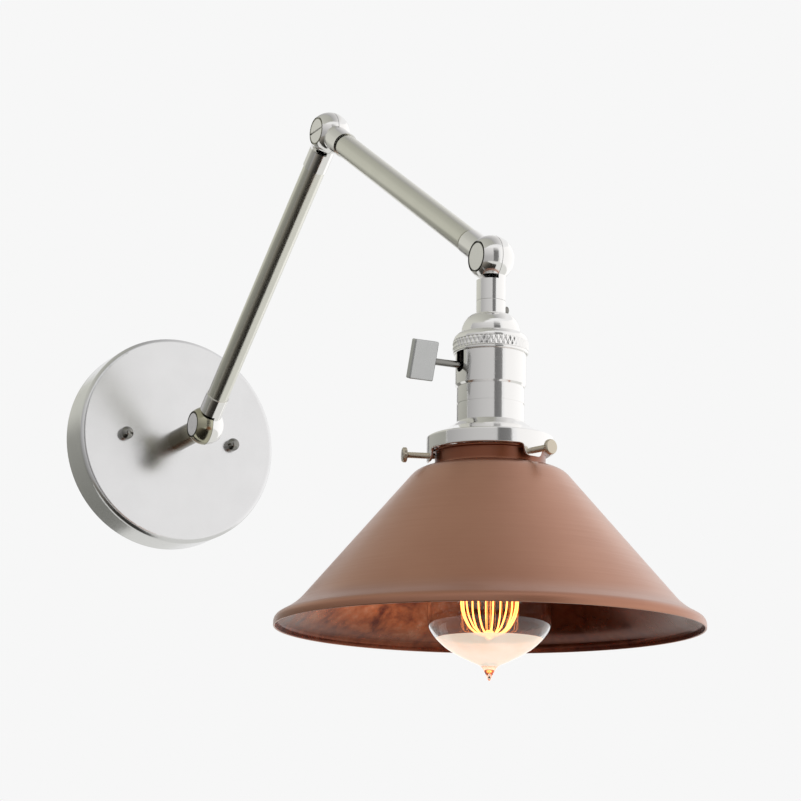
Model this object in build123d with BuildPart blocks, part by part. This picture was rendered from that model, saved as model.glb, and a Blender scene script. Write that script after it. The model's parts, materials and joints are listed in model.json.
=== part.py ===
from build123d import *
import math
import os

os.makedirs("parts", exist_ok=True)

# Wall lamp with two folding arms, in millimetres. The origin is the middle of the wall
# plate's back, on the wall. -Y points out of the wall, +Z is up, and both arms lie in X = 0.

# Wall plate and its fixings
canopy_diameter = 127.0
canopy_depth = 22.7
canopy_wall = 1.2
canopy_edge_radius = 3.0
crossbar_length = 106.0
crossbar_width = 19.0
crossbar_thickness = 2.0
crossbar_centre_hole = 13.0
box_screw_spacing = 88.9
box_slot_length = 10.0
box_slot_width = 4.8
stud_spacing = 69.85
stud_diameter = 4.2
stud_in_nut = 4.0
cap_nut_diameter = 7.8
cap_nut_height = 6.2
cap_nut_roundness = 0.9
ground_screw_offset = 17.0
ground_screw_diameter = 4.8
ground_screw_head_diameter = 9.0
ground_screw_head_height = 3.0

# Threaded tube that holds the stem to the wall plate
nipple_diameter = 9.6
nipple_bore = 6.6
stem_thread_depth = 14.0
nipple_tail = 11.0
lock_nut_across_flats = 14.0
lock_nut_height = 4.0
lock_washer_diameter = 17.0
lock_washer_thickness = 1.0

# Arms: ball centre to ball centre, and their angles above the horizontal as photographed
stem_length = 38.5
stem_diameter = 13.0
arm_length = 208.5
lower_arm_angle = 38.4
upper_arm_angle = -35.6
head_tilt = 3.0
tube_diameter = 12.7
tube_wall = 1.0
tube_engagement = 9.0

# Ball knuckles
ball_diameter = 22.9
seam_gap = 0.2
collar_reach = 23.0
collar_wall = 0.6
neck_gap = 1.8
pivot_head_diameter = 14.6
pivot_head_gap = 0.5
pivot_head_height = 1.9
pivot_nut_face = 0.9
pivot_slot_width = 1.1
pivot_slot_depth = 0.9
pivot_diameter = 5.0
boss_diameter = 9.0
boss_recess = 0.4
knuckle_web = 1.8
knuckle_wall = 3.0
wave_washer_thickness = 0.8
wire_way_diameter = 6.4

# Lamp holder, from the head knuckle downwards
head_neck_diameter = 14.3
head_neck_reach = 21.4
head_thread_depth = 8.0
head_nipple_tail = 3.0
cap_neck_length = 6.6
cap_dome_height = 9.7
cap_dome_diameter = 28.8
cap_dome_turn = 52.0
cap_shoulder_height = 3.9
cap_shoulder_turn = 49.0
cap_knurl_height = 4.6
cap_knurl_diameter = 37.0
cap_knurl_depth = 0.4
cap_knurl_teeth = 72
cap_bead_height = 1.7
cap_wall = 1.1
set_screw_depth = 3.6
set_screw_diameter = 3.4
set_screw_head_diameter = 4.4
set_screw_head_height = 2.0
set_screw_chamfer = 0.4
shell_diameter = 34.2
shell_overlap = 5.0
shell_upper_length = 15.3
shell_lower_diameter = 32.6
shell_lower_length = 18.2
shell_wall = 0.8
shell_groove_width = 0.9
shell_groove_depth = 0.35
shell_tail_diameter = 30.6
shell_tail_length = 7.4
liner_wall = 0.8
block_height = 16.5
screw_shell_wall = 0.5
screw_shell_length = 24.0
contact_diameter = 7.0
contact_height = 2.4
contact_gap = 2.5
terminal_screw_diameter = 5.6
terminal_screw_height = 1.8

# Turn switch
key_depth = 6.8
key_slot_width = 6.6
key_shaft_diameter = 3.3
key_paddle_start = 31.0
key_paddle_width = 12.8
key_paddle_height = 19.0
key_paddle_wall = 0.35
key_paddle_radius = 0.7
key_shaft_in_paddle = 5.0
key_rest_angle = 18.5
cam_diameter = 8.0
cam_outer_end = 7.0
cam_inner_end = 3.0

# Shade holder with three thumbscrews
holder_diameter = 61.0
holder_wall = 1.3
holder_collar_diameter = 42.0
holder_collar_height = 3.6
holder_slope_height = 3.9
holder_skirt_height = 6.9
ear_length = 5.8
ear_width = 11.0
ear_corner_radius = 3.0
ear_root_radius = 2.4
ear_first_angle = 41.7
ear_count = 3
ring_nut_diameter = 38.0
ring_nut_height = 4.0
thumbscrew_drop = 2.7
thumbscrew_diameter = 3.1
thumbscrew_head_diameter = 7.4
thumbscrew_head_height = 2.2
thumbscrew_head_radius = 0.6
thumbscrew_head_stand = 12.3
thumbscrew_tip_gap = 0.3

# Spun copper shade
shade_diameter = 203.2
shade_wall = 0.9
shade_neck_gap = 2.8
shade_lip_width = 1.8
shade_lip_gap = 0.3
shade_lip_radius = 0.8
shade_foot_gap = 1.7
shade_height = 76.8
shade_shoulder_width = 8.6
shade_shoulder_drop = 1.1
shade_neck_radius = 1.6
shade_shoulder_radius = 12.0
shade_brim_width = 10.0
shade_brim_drop = 5.5
shade_edge_height = 4.2
shade_brim_radius = 24.0
shade_edge_radius = 3.0

# Bulb
bulb_base_diameter = 26.1
bulb_base_length = 21.5
bulb_base_wall = 0.4
bulb_thread_pitch = 3.6
bulb_thread_depth = 0.5
bulb_tip_insulator = 2.0
bulb_tip_contact_diameter = 9.0
bulb_tip_contact_height = 0.8
bulb_glass_wall = 0.8
bulb_neck_inset = 4.0
bulb_neck_length = 10.0
bulb_diameter = 59.0
bulb_taper_length = 78.3
bulb_bowl_height = 22.2
bulb_bowl_middle_diameter = 40.0
bulb_bowl_middle_drop = 14.6
bulb_bowl_slope = 0.45
bulb_pip_foot_diameter = 9.2
bulb_pip_waist_diameter = 4.4
bulb_pip_waist_drop = 3.0
bulb_pip_tip_diameter = 1.2
bulb_pip_height = 7.4
mount_flare_length = 9.0
mount_stem_diameter = 9.0
mount_stem_length = 26.0
mount_rod_diameter = 3.0
cage_start = 37.0
cage_diameter = 27.0
cage_drop = 38.7
cage_hub_diameter = 6.0
cage_hub_width = 1.0
cage_hub_height = 1.2
cage_joint_diameter = 1.2
filament_diameter = 0.8
filament_strands = 12
support_wire_diameter = 0.6

# Clearances
thread_fit = 0.05
running_fit = 0.08
seat_gap = 0.1
slide_fit = 0.1
cam_gap = 0.3
bulb_base_gap = 0.3


def outward(elevation):
    """Unit direction in the arms' plane, at an elevation above the horizontal."""
    angle = math.radians(elevation)
    return Vector(0, -math.cos(angle), math.sin(angle))


def save(piece, name):
    """Label a finished piece and write it under its own name."""
    piece.label = name
    export_step(piece, f"parts/{name}.step")


def bulge(start, end, turn):
    """Middle point of an arc that leaves its start along the second direction."""
    angle = math.radians(turn)
    return (
        start[0] + (end[0] - start[0]) * math.sin(angle),
        start[1] + (end[1] - start[1]) * (1 - math.cos(angle)),
    )


# Pivots and directions
side_axis = Vector(1, 0, 0)
lower_direction = outward(lower_arm_angle)
upper_direction = outward(upper_arm_angle)
head_down = outward(-90 - head_tilt)
base_pivot = Vector(0, -(canopy_depth + stem_length), 0)
elbow_pivot = base_pivot + lower_direction * arm_length
head_pivot = elbow_pivot + upper_direction * arm_length

# Planes of the head: a section of radius against drop below the pivot, and level cuts
head_section = Plane(origin=head_pivot, x_dir=side_axis, z_dir=side_axis.cross(head_down))
head_level = Plane(origin=head_pivot, x_dir=side_axis, z_dir=head_down)
head_axis = Axis(head_pivot, head_down)
wallward = side_axis.cross(head_down)


def radial(angle):
    """Direction out from the head's axis, at an angle from +X towards the wall."""
    turn = math.radians(angle)
    return side_axis * math.cos(turn) + wallward * math.sin(turn)


def facing_plane(angle, drop):
    """Plane on the head's axis, square to a radius, with its second direction downwards."""
    outside = radial(angle)
    return Plane(origin=head_pivot + head_down * drop, x_dir=head_down.cross(outside), z_dir=outside)


# Drops below the head pivot, added up from the lengths above
cap_top = head_neck_reach
cap_dome_top = cap_top + cap_neck_length
cap_shoulder_top = cap_dome_top + cap_dome_height
cap_knurl_top = cap_shoulder_top + cap_shoulder_height
cap_bead_top = cap_knurl_top + cap_knurl_height
cap_bottom = cap_bead_top + cap_bead_height
shell_top = cap_bottom - shell_overlap
shell_step = cap_bottom + shell_upper_length
shell_bottom = shell_step + shell_lower_length
shell_tail_end = shell_bottom + shell_tail_length
key_drop = cap_bottom + key_depth
block_top = shell_top + seat_gap
block_bottom = block_top + block_height
contact_bottom = block_bottom + contact_height
holder_shoulder = shell_bottom + holder_collar_height
holder_skirt_top = holder_shoulder + holder_slope_height
holder_skirt_bottom = holder_skirt_top + holder_skirt_height
ear_bottom = holder_skirt_bottom + ear_length
thumbscrew_level = holder_skirt_bottom + thumbscrew_drop
shade_foot = ear_bottom + shade_foot_gap
shade_rim = shade_foot + shade_height
shade_lip_bottom = thumbscrew_level - thumbscrew_diameter / 2 - shade_lip_gap
bulb_top = contact_bottom + seat_gap
bulb_insulator_top = bulb_top + bulb_tip_contact_height
bulb_base_top = bulb_insulator_top + bulb_tip_insulator
bulb_base_bottom = bulb_base_top + bulb_base_length
bulb_glass_top = bulb_base_bottom - bulb_neck_inset
bulb_taper_top = bulb_base_bottom + bulb_neck_length
bulb_widest = bulb_taper_top + bulb_taper_length
bulb_bowl_bottom = bulb_widest + bulb_bowl_height

# Planes of the set screw, the switch and the thumbscrews
set_screw_plane = facing_plane(0, cap_top + set_screw_depth)
key_plane = facing_plane(180, key_drop)
paddle_plane = Plane(
    origin=key_plane.origin + key_plane.z_dir * key_paddle_start,
    x_dir=key_plane.x_dir.rotate(Axis.X, key_rest_angle),
    z_dir=key_plane.z_dir,
)
ear_angles = [ear_first_angle + 360 / ear_count * ear for ear in range(ear_count)]

# Wall plate: a spun cup, open to the wall, with holes for the stem's thread and two studs
stem_hole = nipple_diameter + 2 * slide_fit
stud_hole = stud_diameter + 2 * slide_fit
with BuildPart() as canopy:
    with BuildSketch(Plane.XZ):
        Circle(canopy_diameter / 2)
    extrude(amount=canopy_depth)
    fillet(canopy.faces().sort_by(Axis.Y)[0].edges(), canopy_edge_radius)
    offset(amount=-canopy_wall, openings=canopy.faces().sort_by(Axis.Y)[-1])
    with BuildSketch(Plane.XZ):
        Circle(stem_hole / 2)
        with GridLocations(stud_spacing, 1, 2, 1):
            Circle(stud_hole / 2)
    extrude(amount=canopy_depth, mode=Mode.SUBTRACT)
save(canopy.part, "canopy")

# Steel strap that is screwed to the wall box
with BuildPart() as crossbar:
    with BuildSketch(Plane.XZ):
        RectangleRounded(crossbar_length, crossbar_width, crossbar_width / 4)
        Circle(crossbar_centre_hole / 2, mode=Mode.SUBTRACT)
        with GridLocations(stud_spacing, 1, 2, 1):
            Circle(stud_diameter / 2 + thread_fit, mode=Mode.SUBTRACT)
        with GridLocations(box_screw_spacing, 1, 2, 1):
            SlotOverall(box_slot_length, box_slot_width, mode=Mode.SUBTRACT)
        with Locations((ground_screw_offset, 0)):
            Circle(ground_screw_diameter / 2 + thread_fit, mode=Mode.SUBTRACT)
    extrude(amount=crossbar_thickness)
save(crossbar.part, "crossbar")

# Two studs from the strap through the plate's face
stud_length = canopy_depth + stud_in_nut
with BuildPart() as canopy_studs:
    with BuildSketch(Plane.XZ):
        with GridLocations(stud_spacing, 1, 2, 1):
            Circle(stud_diameter / 2)
    extrude(amount=stud_length)
save(canopy_studs.part, "canopy_studs")

# Domed nuts on the studs
with BuildPart() as cap_nuts:
    with BuildSketch(Plane.XZ.offset(canopy_depth)):
        with GridLocations(stud_spacing, 1, 2, 1):
            Circle(cap_nut_diameter / 2)
    extrude(amount=cap_nut_height)
    nut_fronts = cap_nuts.faces().filter_by(Axis.Y).group_by(Axis.Y)[0].edges()
    fillet(nut_fronts, cap_nut_roundness * cap_nut_diameter / 2)
    with BuildSketch(Plane.XZ.offset(canopy_depth)):
        with GridLocations(stud_spacing, 1, 2, 1):
            Circle(stud_diameter / 2 + thread_fit)
    extrude(amount=stud_in_nut + seat_gap, mode=Mode.SUBTRACT)
save(cap_nuts.part, "cap_nuts")

# Earthing screw in the strap
with BuildPart() as ground_screw:
    with BuildSketch(Plane.XZ):
        with Locations((ground_screw_offset, 0)):
            Circle(ground_screw_diameter / 2)
    extrude(amount=crossbar_thickness)
    with BuildSketch(Plane.XZ.offset(crossbar_thickness)):
        with Locations((ground_screw_offset, 0)):
            RegularPolygon(ground_screw_head_diameter / 2, 6)
    extrude(amount=ground_screw_head_height)
save(ground_screw.part, "ground_screw")

# Hollow threaded tube through the plate, with its lock washer and nut behind the face
nipple_start = canopy_depth - canopy_wall - nipple_tail
nipple_end = canopy_depth + stem_thread_depth - seat_gap
with BuildPart() as base_nipple:
    with BuildSketch(Plane.XZ.offset(nipple_start)):
        Circle(nipple_diameter / 2)
        Circle(nipple_bore / 2, mode=Mode.SUBTRACT)
    extrude(amount=nipple_end - nipple_start)
save(base_nipple.part, "base_nipple")

washer_face = canopy_depth - canopy_wall - lock_washer_thickness
with BuildPart() as lock_washer:
    with BuildSketch(Plane.XZ.offset(washer_face)):
        Circle(lock_washer_diameter / 2)
        Circle(nipple_diameter / 2 + slide_fit, mode=Mode.SUBTRACT)
    extrude(amount=lock_washer_thickness)
save(lock_washer.part, "base_lock_washer")

with BuildPart() as lock_nut:
    with BuildSketch(Plane.XZ.offset(washer_face - lock_nut_height)):
        RegularPolygon(lock_nut_across_flats / 2, 6, major_radius=False)
        Circle(nipple_diameter / 2 + thread_fit, mode=Mode.SUBTRACT)
    extrude(amount=lock_nut_height)
save(lock_nut.part, "base_lock_nut")

# Knuckles: each ball is two halves that turn on a pivot screw along X
ball_radius = ball_diameter / 2
seam = seam_gap / 2
recess_radius = pivot_head_diameter / 2 + pivot_head_gap
flat_reach = math.sqrt(ball_radius**2 - recess_radius**2)
recess_floor = flat_reach - pivot_head_height
boss_face = seam + boss_recess
pocket_floor = recess_floor - knuckle_web
pocket_radius = ball_radius - knuckle_wall
pivot_hole_radius = pivot_diameter / 2 + running_fit
wire_way_start = (boss_diameter / 2 + pocket_radius) / 2
shank_end = flat_reach - pivot_nut_face


def side_section(centre, side):
    """Plane for turned shapes about the pivot: distance along X on one side, then radius."""
    return Plane(origin=centre, x_dir=side_axis * side, z_dir=(0, -1, 0))


def knuckle_half(centre, side, direction, neck_diameter, neck_reach, bore_diameter, bore_depth):
    """Half a ball with a bored neck that stands clear of the other half."""
    section_plane = side_section(centre, side)
    neck_plane = Plane(origin=centre, x_dir=side_axis, z_dir=direction)
    pivot_axis = Axis(centre, side_axis)
    clear_radius = ball_radius + neck_gap
    rim_radius = math.sqrt(ball_radius**2 - seam**2)
    middle_angle = (math.atan2(rim_radius, seam) + math.atan2(recess_radius, flat_reach)) / 2
    with BuildPart() as half:
        with BuildSketch(neck_plane.offset(pocket_radius)):
            Circle(neck_diameter / 2)
        extrude(amount=neck_reach - pocket_radius)
        with BuildSketch(section_plane):
            Circle(clear_radius)
            with Locations((seam, 0)):
                Rectangle(2 * clear_radius, clear_radius, align=(Align.MAX, Align.MIN), mode=Mode.INTERSECT)
        revolve(axis=pivot_axis, mode=Mode.SUBTRACT)
        with BuildSketch(section_plane):
            with BuildLine():
                Line((seam, pocket_radius), (seam, rim_radius))
                ThreePointArc(
                    (seam, rim_radius),
                    (ball_radius * math.cos(middle_angle), ball_radius * math.sin(middle_angle)),
                    (flat_reach, recess_radius),
                )
                Polyline(
                    (flat_reach, recess_radius),
                    (recess_floor, recess_radius),
                    (recess_floor, pivot_hole_radius),
                    (boss_face, pivot_hole_radius),
                    (boss_face, boss_diameter / 2),
                    (pocket_floor, boss_diameter / 2),
                    (pocket_floor, pocket_radius),
                    (seam, pocket_radius),
                )
            make_face()
        revolve(axis=pivot_axis)
        with BuildSketch(neck_plane.offset(neck_reach - bore_depth)):
            Circle(bore_diameter / 2)
        extrude(amount=bore_depth, mode=Mode.SUBTRACT)
        with BuildSketch(neck_plane.offset(wire_way_start)):
            Circle(wire_way_diameter / 2)
        extrude(amount=neck_reach - wire_way_start, mode=Mode.SUBTRACT)
    return half.part


def pivot_screw(centre, side):
    """Slotted screw: a broad flat head on one side and a shank through both halves."""
    section_plane = side_section(centre, side)
    facing = side_axis * side
    head_plane = Plane(origin=centre + facing * flat_reach, x_dir=(0, 1, 0), z_dir=facing)
    with BuildPart() as screw:
        with BuildSketch(section_plane):
            with BuildLine():
                Polyline(
                    (flat_reach, 0),
                    (flat_reach, pivot_head_diameter / 2),
                    (recess_floor + seat_gap, pivot_head_diameter / 2),
                    (recess_floor + seat_gap, pivot_diameter / 2),
                    (seat_gap - shank_end, pivot_diameter / 2),
                    (seat_gap - shank_end, 0),
                    close=True,
                )
            make_face()
        revolve(axis=Axis(centre, side_axis))
        with BuildSketch(head_plane):
            Rectangle(2 * pivot_head_diameter, pivot_slot_width)
        extrude(amount=-pivot_slot_depth, mode=Mode.SUBTRACT)
    return screw.part


def pivot_nut(centre, side):
    """Plain round nut that closes the other side of the ball."""
    with BuildPart() as nut:
        with BuildSketch(side_section(centre, side)):
            with BuildLine():
                Polyline(
                    (flat_reach, 0),
                    (flat_reach, pivot_head_diameter / 2),
                    (recess_floor + seat_gap, pivot_head_diameter / 2),
                    (recess_floor + seat_gap, pivot_diameter / 2 + thread_fit),
                    (shank_end, pivot_diameter / 2 + thread_fit),
                    (shank_end, 0),
                    close=True,
                )
            make_face()
        revolve(axis=Axis(centre, side_axis))
    return nut.part


def wave_washer(centre):
    """Thin friction washer between the two bosses."""
    with BuildPart() as washer:
        with BuildSketch(Plane(origin=centre, x_dir=(0, 1, 0), z_dir=side_axis)):
            Circle(boss_diameter / 2)
            Circle(pivot_hole_radius, mode=Mode.SUBTRACT)
        extrude(amount=wave_washer_thickness / 2, both=True)
    return washer.part


nipple_seat = nipple_diameter + 2 * thread_fit
tube_seat = tube_diameter + 2 * thread_fit
wall_direction = Vector(0, 1, 0)
collar = (tube_seat + 2 * collar_wall, collar_reach, tube_seat, tube_engagement)
stem_neck = (stem_diameter, stem_length, nipple_seat, stem_thread_depth)
head_neck = (head_neck_diameter, head_neck_reach, nipple_seat, head_thread_depth)

# Right halves belong to the lower arm and the lamp head, left halves to the stem and upper arm
save(knuckle_half(base_pivot, -1, wall_direction, *stem_neck), "base_ball_stem_half")
save(knuckle_half(base_pivot, 1, lower_direction, *collar), "base_ball_arm_half")
save(knuckle_half(elbow_pivot, 1, -lower_direction, *collar), "elbow_ball_lower_half")
save(knuckle_half(elbow_pivot, -1, upper_direction, *collar), "elbow_ball_upper_half")
save(knuckle_half(head_pivot, -1, -upper_direction, *collar), "head_ball_arm_half")
save(knuckle_half(head_pivot, 1, head_down, *head_neck), "head_ball_socket_half")

# The elbow's slotted head faces left. The other two face right, so their plain nuts show.
knuckles = (("base", base_pivot, 1), ("elbow", elbow_pivot, -1), ("head", head_pivot, 1))
for knuckle, centre, screw_side in knuckles:
    save(pivot_screw(centre, screw_side), f"{knuckle}_pivot_screw")
    save(pivot_nut(centre, -screw_side), f"{knuckle}_pivot_nut")
    save(wave_washer(centre), f"{knuckle}_wave_washer")

# Arm tubes, seated in the collars
tube_inset = collar_reach - tube_engagement + seat_gap
arms = (("lower_tube", base_pivot, lower_direction), ("upper_tube", elbow_pivot, upper_direction))
for name, start, direction in arms:
    with BuildPart() as tube:
        with BuildSketch(Plane(origin=start + direction * tube_inset, x_dir=side_axis, z_dir=direction)):
            Circle(tube_diameter / 2)
            Circle(tube_diameter / 2 - tube_wall, mode=Mode.SUBTRACT)
        extrude(amount=arm_length - 2 * tube_inset)
    save(tube.part, name)

# Threaded tube between the head knuckle's neck and the socket cap
head_nipple_top = cap_top - head_thread_depth + seat_gap
head_nipple_end = cap_dome_top + cap_wall + head_nipple_tail
with BuildPart() as head_nipple:
    with BuildSketch(head_level.offset(head_nipple_top)):
        Circle(nipple_diameter / 2)
        Circle(nipple_bore / 2, mode=Mode.SUBTRACT)
    extrude(amount=head_nipple_end - head_nipple_top)
save(head_nipple.part, "head_nipple")

# Socket cap: a neck, a dome, a shoulder, a knurled band and a plain bead below it
cap_neck_radius = head_neck_diameter / 2
cap_dome_radius = cap_dome_diameter / 2
cap_shoulder_radius = cap_knurl_diameter / 2 - cap_knurl_depth
shell_radius = shell_diameter / 2
dome_start = (cap_neck_radius, cap_dome_top)
dome_end = (cap_dome_radius, cap_shoulder_top)
shoulder_end = (cap_shoulder_radius, cap_knurl_top)
tooth_step = 180 / cap_knurl_teeth
tooth_radii = (cap_shoulder_radius, cap_shoulder_radius + cap_knurl_depth)
with BuildPart() as socket_cap:
    with BuildSketch(head_section):
        with BuildLine():
            Polyline((0, cap_top), (cap_neck_radius, cap_top), dome_start)
            ThreePointArc(dome_start, bulge(dome_start, dome_end, cap_dome_turn), dome_end)
            ThreePointArc(dome_end, bulge(dome_end, shoulder_end, cap_shoulder_turn), shoulder_end)
            Polyline(
                shoulder_end,
                (cap_shoulder_radius, cap_bottom),
                (shell_radius + thread_fit, cap_bottom),
                (shell_radius + thread_fit, cap_knurl_top),
                (cap_dome_radius - cap_wall, cap_shoulder_top),
                (cap_neck_radius - cap_wall, cap_dome_top + cap_wall),
                (0, cap_dome_top + cap_wall),
                (0, cap_top),
            )
        make_face()
    revolve(axis=head_axis)
    with BuildSketch(head_level.offset(cap_knurl_top)):
        with BuildLine():
            tooth_points = [
                side_axis.rotate(Axis.Z, edge * tooth_step) * tooth_radii[edge % 2]
                for edge in range(2 * cap_knurl_teeth)
            ]
            Polyline(*tooth_points, close=True)
        make_face()
        Circle(shell_radius + thread_fit, mode=Mode.SUBTRACT)
    extrude(amount=cap_knurl_height)
    with BuildSketch(head_level.offset(cap_top)):
        Circle(nipple_diameter / 2 + thread_fit)
    extrude(amount=head_nipple_end - cap_top, mode=Mode.SUBTRACT)
    with BuildSketch(set_screw_plane):
        Circle(set_screw_diameter / 2 + thread_fit)
    extrude(amount=head_neck_diameter, mode=Mode.SUBTRACT)
save(socket_cap.part, "socket_cap")

# Small screw in the cap's neck that stops it turning on its thread
set_screw_start = nipple_diameter / 2 + seat_gap
with BuildPart() as cap_set_screw:
    with BuildSketch(set_screw_plane.offset(set_screw_start)):
        Circle(set_screw_diameter / 2)
    extrude(amount=cap_neck_radius - set_screw_start)
    with BuildSketch(set_screw_plane.offset(cap_neck_radius)):
        Circle(set_screw_head_diameter / 2)
    extrude(amount=set_screw_head_height)
    chamfer(cap_set_screw.faces().sort_by(Axis.X)[-1].edges(), set_screw_chamfer)
save(cap_set_screw.part, "cap_set_screw")

# Outer shell of the socket, with two fine grooves and a slot for the switch shaft
lower_radius = shell_lower_diameter / 2
tail_radius = shell_tail_diameter / 2
with BuildPart() as socket_shell:
    with BuildSketch(head_section):
        with BuildLine():
            Polyline(
                (shell_radius - shell_wall, shell_top),
                (shell_radius, shell_top),
                (shell_radius, shell_step),
                (lower_radius, shell_step + shell_groove_width),
                (lower_radius, shell_bottom),
                (tail_radius, shell_bottom),
                (tail_radius, shell_tail_end),
                (tail_radius - shell_wall, shell_tail_end),
                (tail_radius - shell_wall, shell_bottom - shell_wall),
                (lower_radius - shell_wall, shell_bottom - shell_wall),
                (lower_radius - shell_wall, shell_step),
                (shell_radius - shell_wall, shell_step - shell_groove_width),
                close=True,
            )
        make_face()
    revolve(axis=head_axis)
    with BuildSketch(head_section):
        for drop in (shell_step + shell_groove_width, shell_step + shell_lower_length / 2):
            with Locations((lower_radius, drop)):
                Rectangle(2 * shell_groove_depth, shell_groove_width, align=(Align.CENTER, Align.MIN))
    revolve(axis=head_axis, mode=Mode.SUBTRACT)
    with BuildSketch(key_plane):
        Circle(key_slot_width / 2)
        Rectangle(key_slot_width, key_drop, align=(Align.CENTER, Align.MAX))
    extrude(amount=shell_diameter, mode=Mode.SUBTRACT)
save(socket_shell.part, "socket_shell")

# Fibre sleeve between the shell and the live parts
liner_radius = lower_radius - shell_wall - slide_fit
liner_bottom = shell_bottom - shell_wall - seat_gap
with BuildPart() as insulating_liner:
    with BuildSketch(head_level.offset(shell_top)):
        Circle(liner_radius)
        Circle(liner_radius - liner_wall, mode=Mode.SUBTRACT)
    extrude(amount=liner_bottom - shell_top)
    with BuildSketch(key_plane):
        Circle(key_slot_width / 2)
        Rectangle(key_slot_width, key_drop, align=(Align.CENTER, Align.MAX))
    extrude(amount=shell_diameter, mode=Mode.SUBTRACT)
save(insulating_liner.part, "insulating_liner")

# Moulded block that carries the switch and the lamp contacts
block_radius = liner_radius - liner_wall - slide_fit
shaft_slot = key_shaft_diameter + 2 * running_fit
cam_pocket = cam_diameter + 2 * cam_gap
with BuildPart() as socket_block:
    with BuildSketch(head_level.offset(block_top)):
        Circle(block_radius)
    extrude(amount=block_height)
    with BuildSketch(key_plane):
        Circle(shaft_slot / 2)
        Rectangle(shaft_slot, key_drop, align=(Align.CENTER, Align.MAX))
    extrude(amount=shell_diameter, mode=Mode.SUBTRACT)
    with BuildSketch(key_plane.offset(-cam_inner_end - cam_gap)):
        Circle(cam_pocket / 2)
        Rectangle(cam_pocket, key_drop, align=(Align.CENTER, Align.MAX))
    extrude(amount=cam_inner_end + cam_outer_end + 2 * cam_gap, mode=Mode.SUBTRACT)
save(socket_block.part, "socket_block")

# Two wire screws on the block's upper face
terminal_reach = (cam_pocket / 2 + block_radius) / 2
with BuildPart() as terminal_screws:
    with BuildSketch(head_level.offset(block_top)):
        with GridLocations(1, 2 * terminal_reach, 1, 2):
            Circle(terminal_screw_diameter / 2)
    extrude(amount=-terminal_screw_height)
save(terminal_screws.part, "terminal_screws")

# Threaded lamp shell below the block, and the sprung contact in its middle
screw_shell_inner = bulb_base_diameter / 2 + bulb_base_gap
with BuildPart() as screw_shell:
    with BuildSketch(head_level.offset(block_bottom)):
        Circle(screw_shell_inner + screw_shell_wall)
    extrude(amount=screw_shell_length)
    with BuildSketch(head_level.offset(block_bottom + screw_shell_wall)):
        Circle(screw_shell_inner)
    extrude(amount=screw_shell_length, mode=Mode.SUBTRACT)
    with BuildSketch(head_level.offset(block_bottom)):
        Circle(contact_diameter / 2 + contact_gap)
    extrude(amount=screw_shell_length, mode=Mode.SUBTRACT)
save(screw_shell.part, "screw_shell")

with BuildPart() as centre_contact:
    with BuildSketch(head_level.offset(block_bottom)):
        Circle(contact_diameter / 2)
    extrude(amount=contact_height)
save(centre_contact.part, "centre_contact")

# Turn switch: cam, shaft and flat paddle, all on one axis across the head
with BuildPart() as switch_cam:
    with BuildSketch(key_plane.offset(-cam_inner_end)):
        Circle(cam_diameter / 2)
        Circle(key_shaft_diameter / 2 + thread_fit, mode=Mode.SUBTRACT)
    extrude(amount=cam_inner_end + cam_outer_end)
save(switch_cam.part, "switch_cam")

with BuildPart() as key_shaft:
    with BuildSketch(key_plane.offset(-cam_inner_end)):
        Circle(key_shaft_diameter / 2)
    extrude(amount=cam_inner_end + key_paddle_start + key_shaft_in_paddle)
save(key_shaft.part, "key_shaft")

paddle_thickness = key_shaft_diameter + 2 * thread_fit + 2 * key_paddle_wall
with BuildPart() as key_paddle:
    with BuildSketch(paddle_plane):
        Rectangle(paddle_thickness, key_paddle_height)
    extrude(amount=key_paddle_width)
    fillet(key_paddle.edges(), key_paddle_radius)
    with BuildSketch(paddle_plane):
        Circle(key_shaft_diameter / 2 + thread_fit)
    extrude(amount=key_shaft_in_paddle + seat_gap, mode=Mode.SUBTRACT)
save(key_paddle.part, "key_paddle")

# Shade holder: a pressed cup with three ears that carry the thumbscrews
holder_radius = holder_diameter / 2
holder_inner = holder_radius - holder_wall
holder_collar_radius = holder_collar_diameter / 2
holder_bore = tail_radius + slide_fit
ear_half = ear_width / 2
ear_root = ear_half + 2 * ear_root_radius
ear_rise = holder_skirt_height / 2
with BuildPart() as shade_holder:
    for angle in ear_angles:
        with BuildSketch(facing_plane(angle, thumbscrew_level)) as ear:
            with BuildLine():
                Polyline(
                    (-ear_root, -thumbscrew_drop - ear_rise),
                    (-ear_root, -thumbscrew_drop),
                    (-ear_half, -thumbscrew_drop),
                    (-ear_half, ear_length - thumbscrew_drop),
                    (ear_half, ear_length - thumbscrew_drop),
                    (ear_half, -thumbscrew_drop),
                    (ear_root, -thumbscrew_drop),
                    (ear_root, -thumbscrew_drop - ear_rise),
                    close=True,
                )
            make_face()
            fillet(ear.vertices().group_by(Axis.Y)[1].sort_by(Axis.X)[1:3], ear_root_radius)
            fillet(ear.vertices().group_by(Axis.Y)[-1], ear_corner_radius)
        extrude(amount=holder_diameter)
    with BuildSketch(head_level.offset(holder_skirt_bottom - ear_rise)):
        Circle(holder_radius)
        Circle(holder_inner, mode=Mode.SUBTRACT)
    extrude(amount=ear_rise + ear_length, mode=Mode.INTERSECT)
    with BuildSketch(head_section):
        with BuildLine():
            Polyline(
                (holder_bore, shell_bottom),
                (lower_radius, shell_bottom),
                (holder_collar_radius, holder_shoulder),
                (holder_radius, holder_skirt_top),
                (holder_radius, holder_skirt_bottom),
                (holder_inner, holder_skirt_bottom),
                (holder_inner, holder_skirt_top + holder_wall),
                (holder_collar_radius, holder_shoulder + holder_wall),
                (holder_bore, shell_bottom + holder_wall),
                close=True,
            )
        make_face()
    revolve(axis=head_axis)
    for angle in ear_angles:
        with BuildSketch(facing_plane(angle, thumbscrew_level)):
            Circle(thumbscrew_diameter / 2 + running_fit)
        extrude(amount=holder_diameter, mode=Mode.SUBTRACT)
save(shade_holder.part, "shade_holder")

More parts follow.
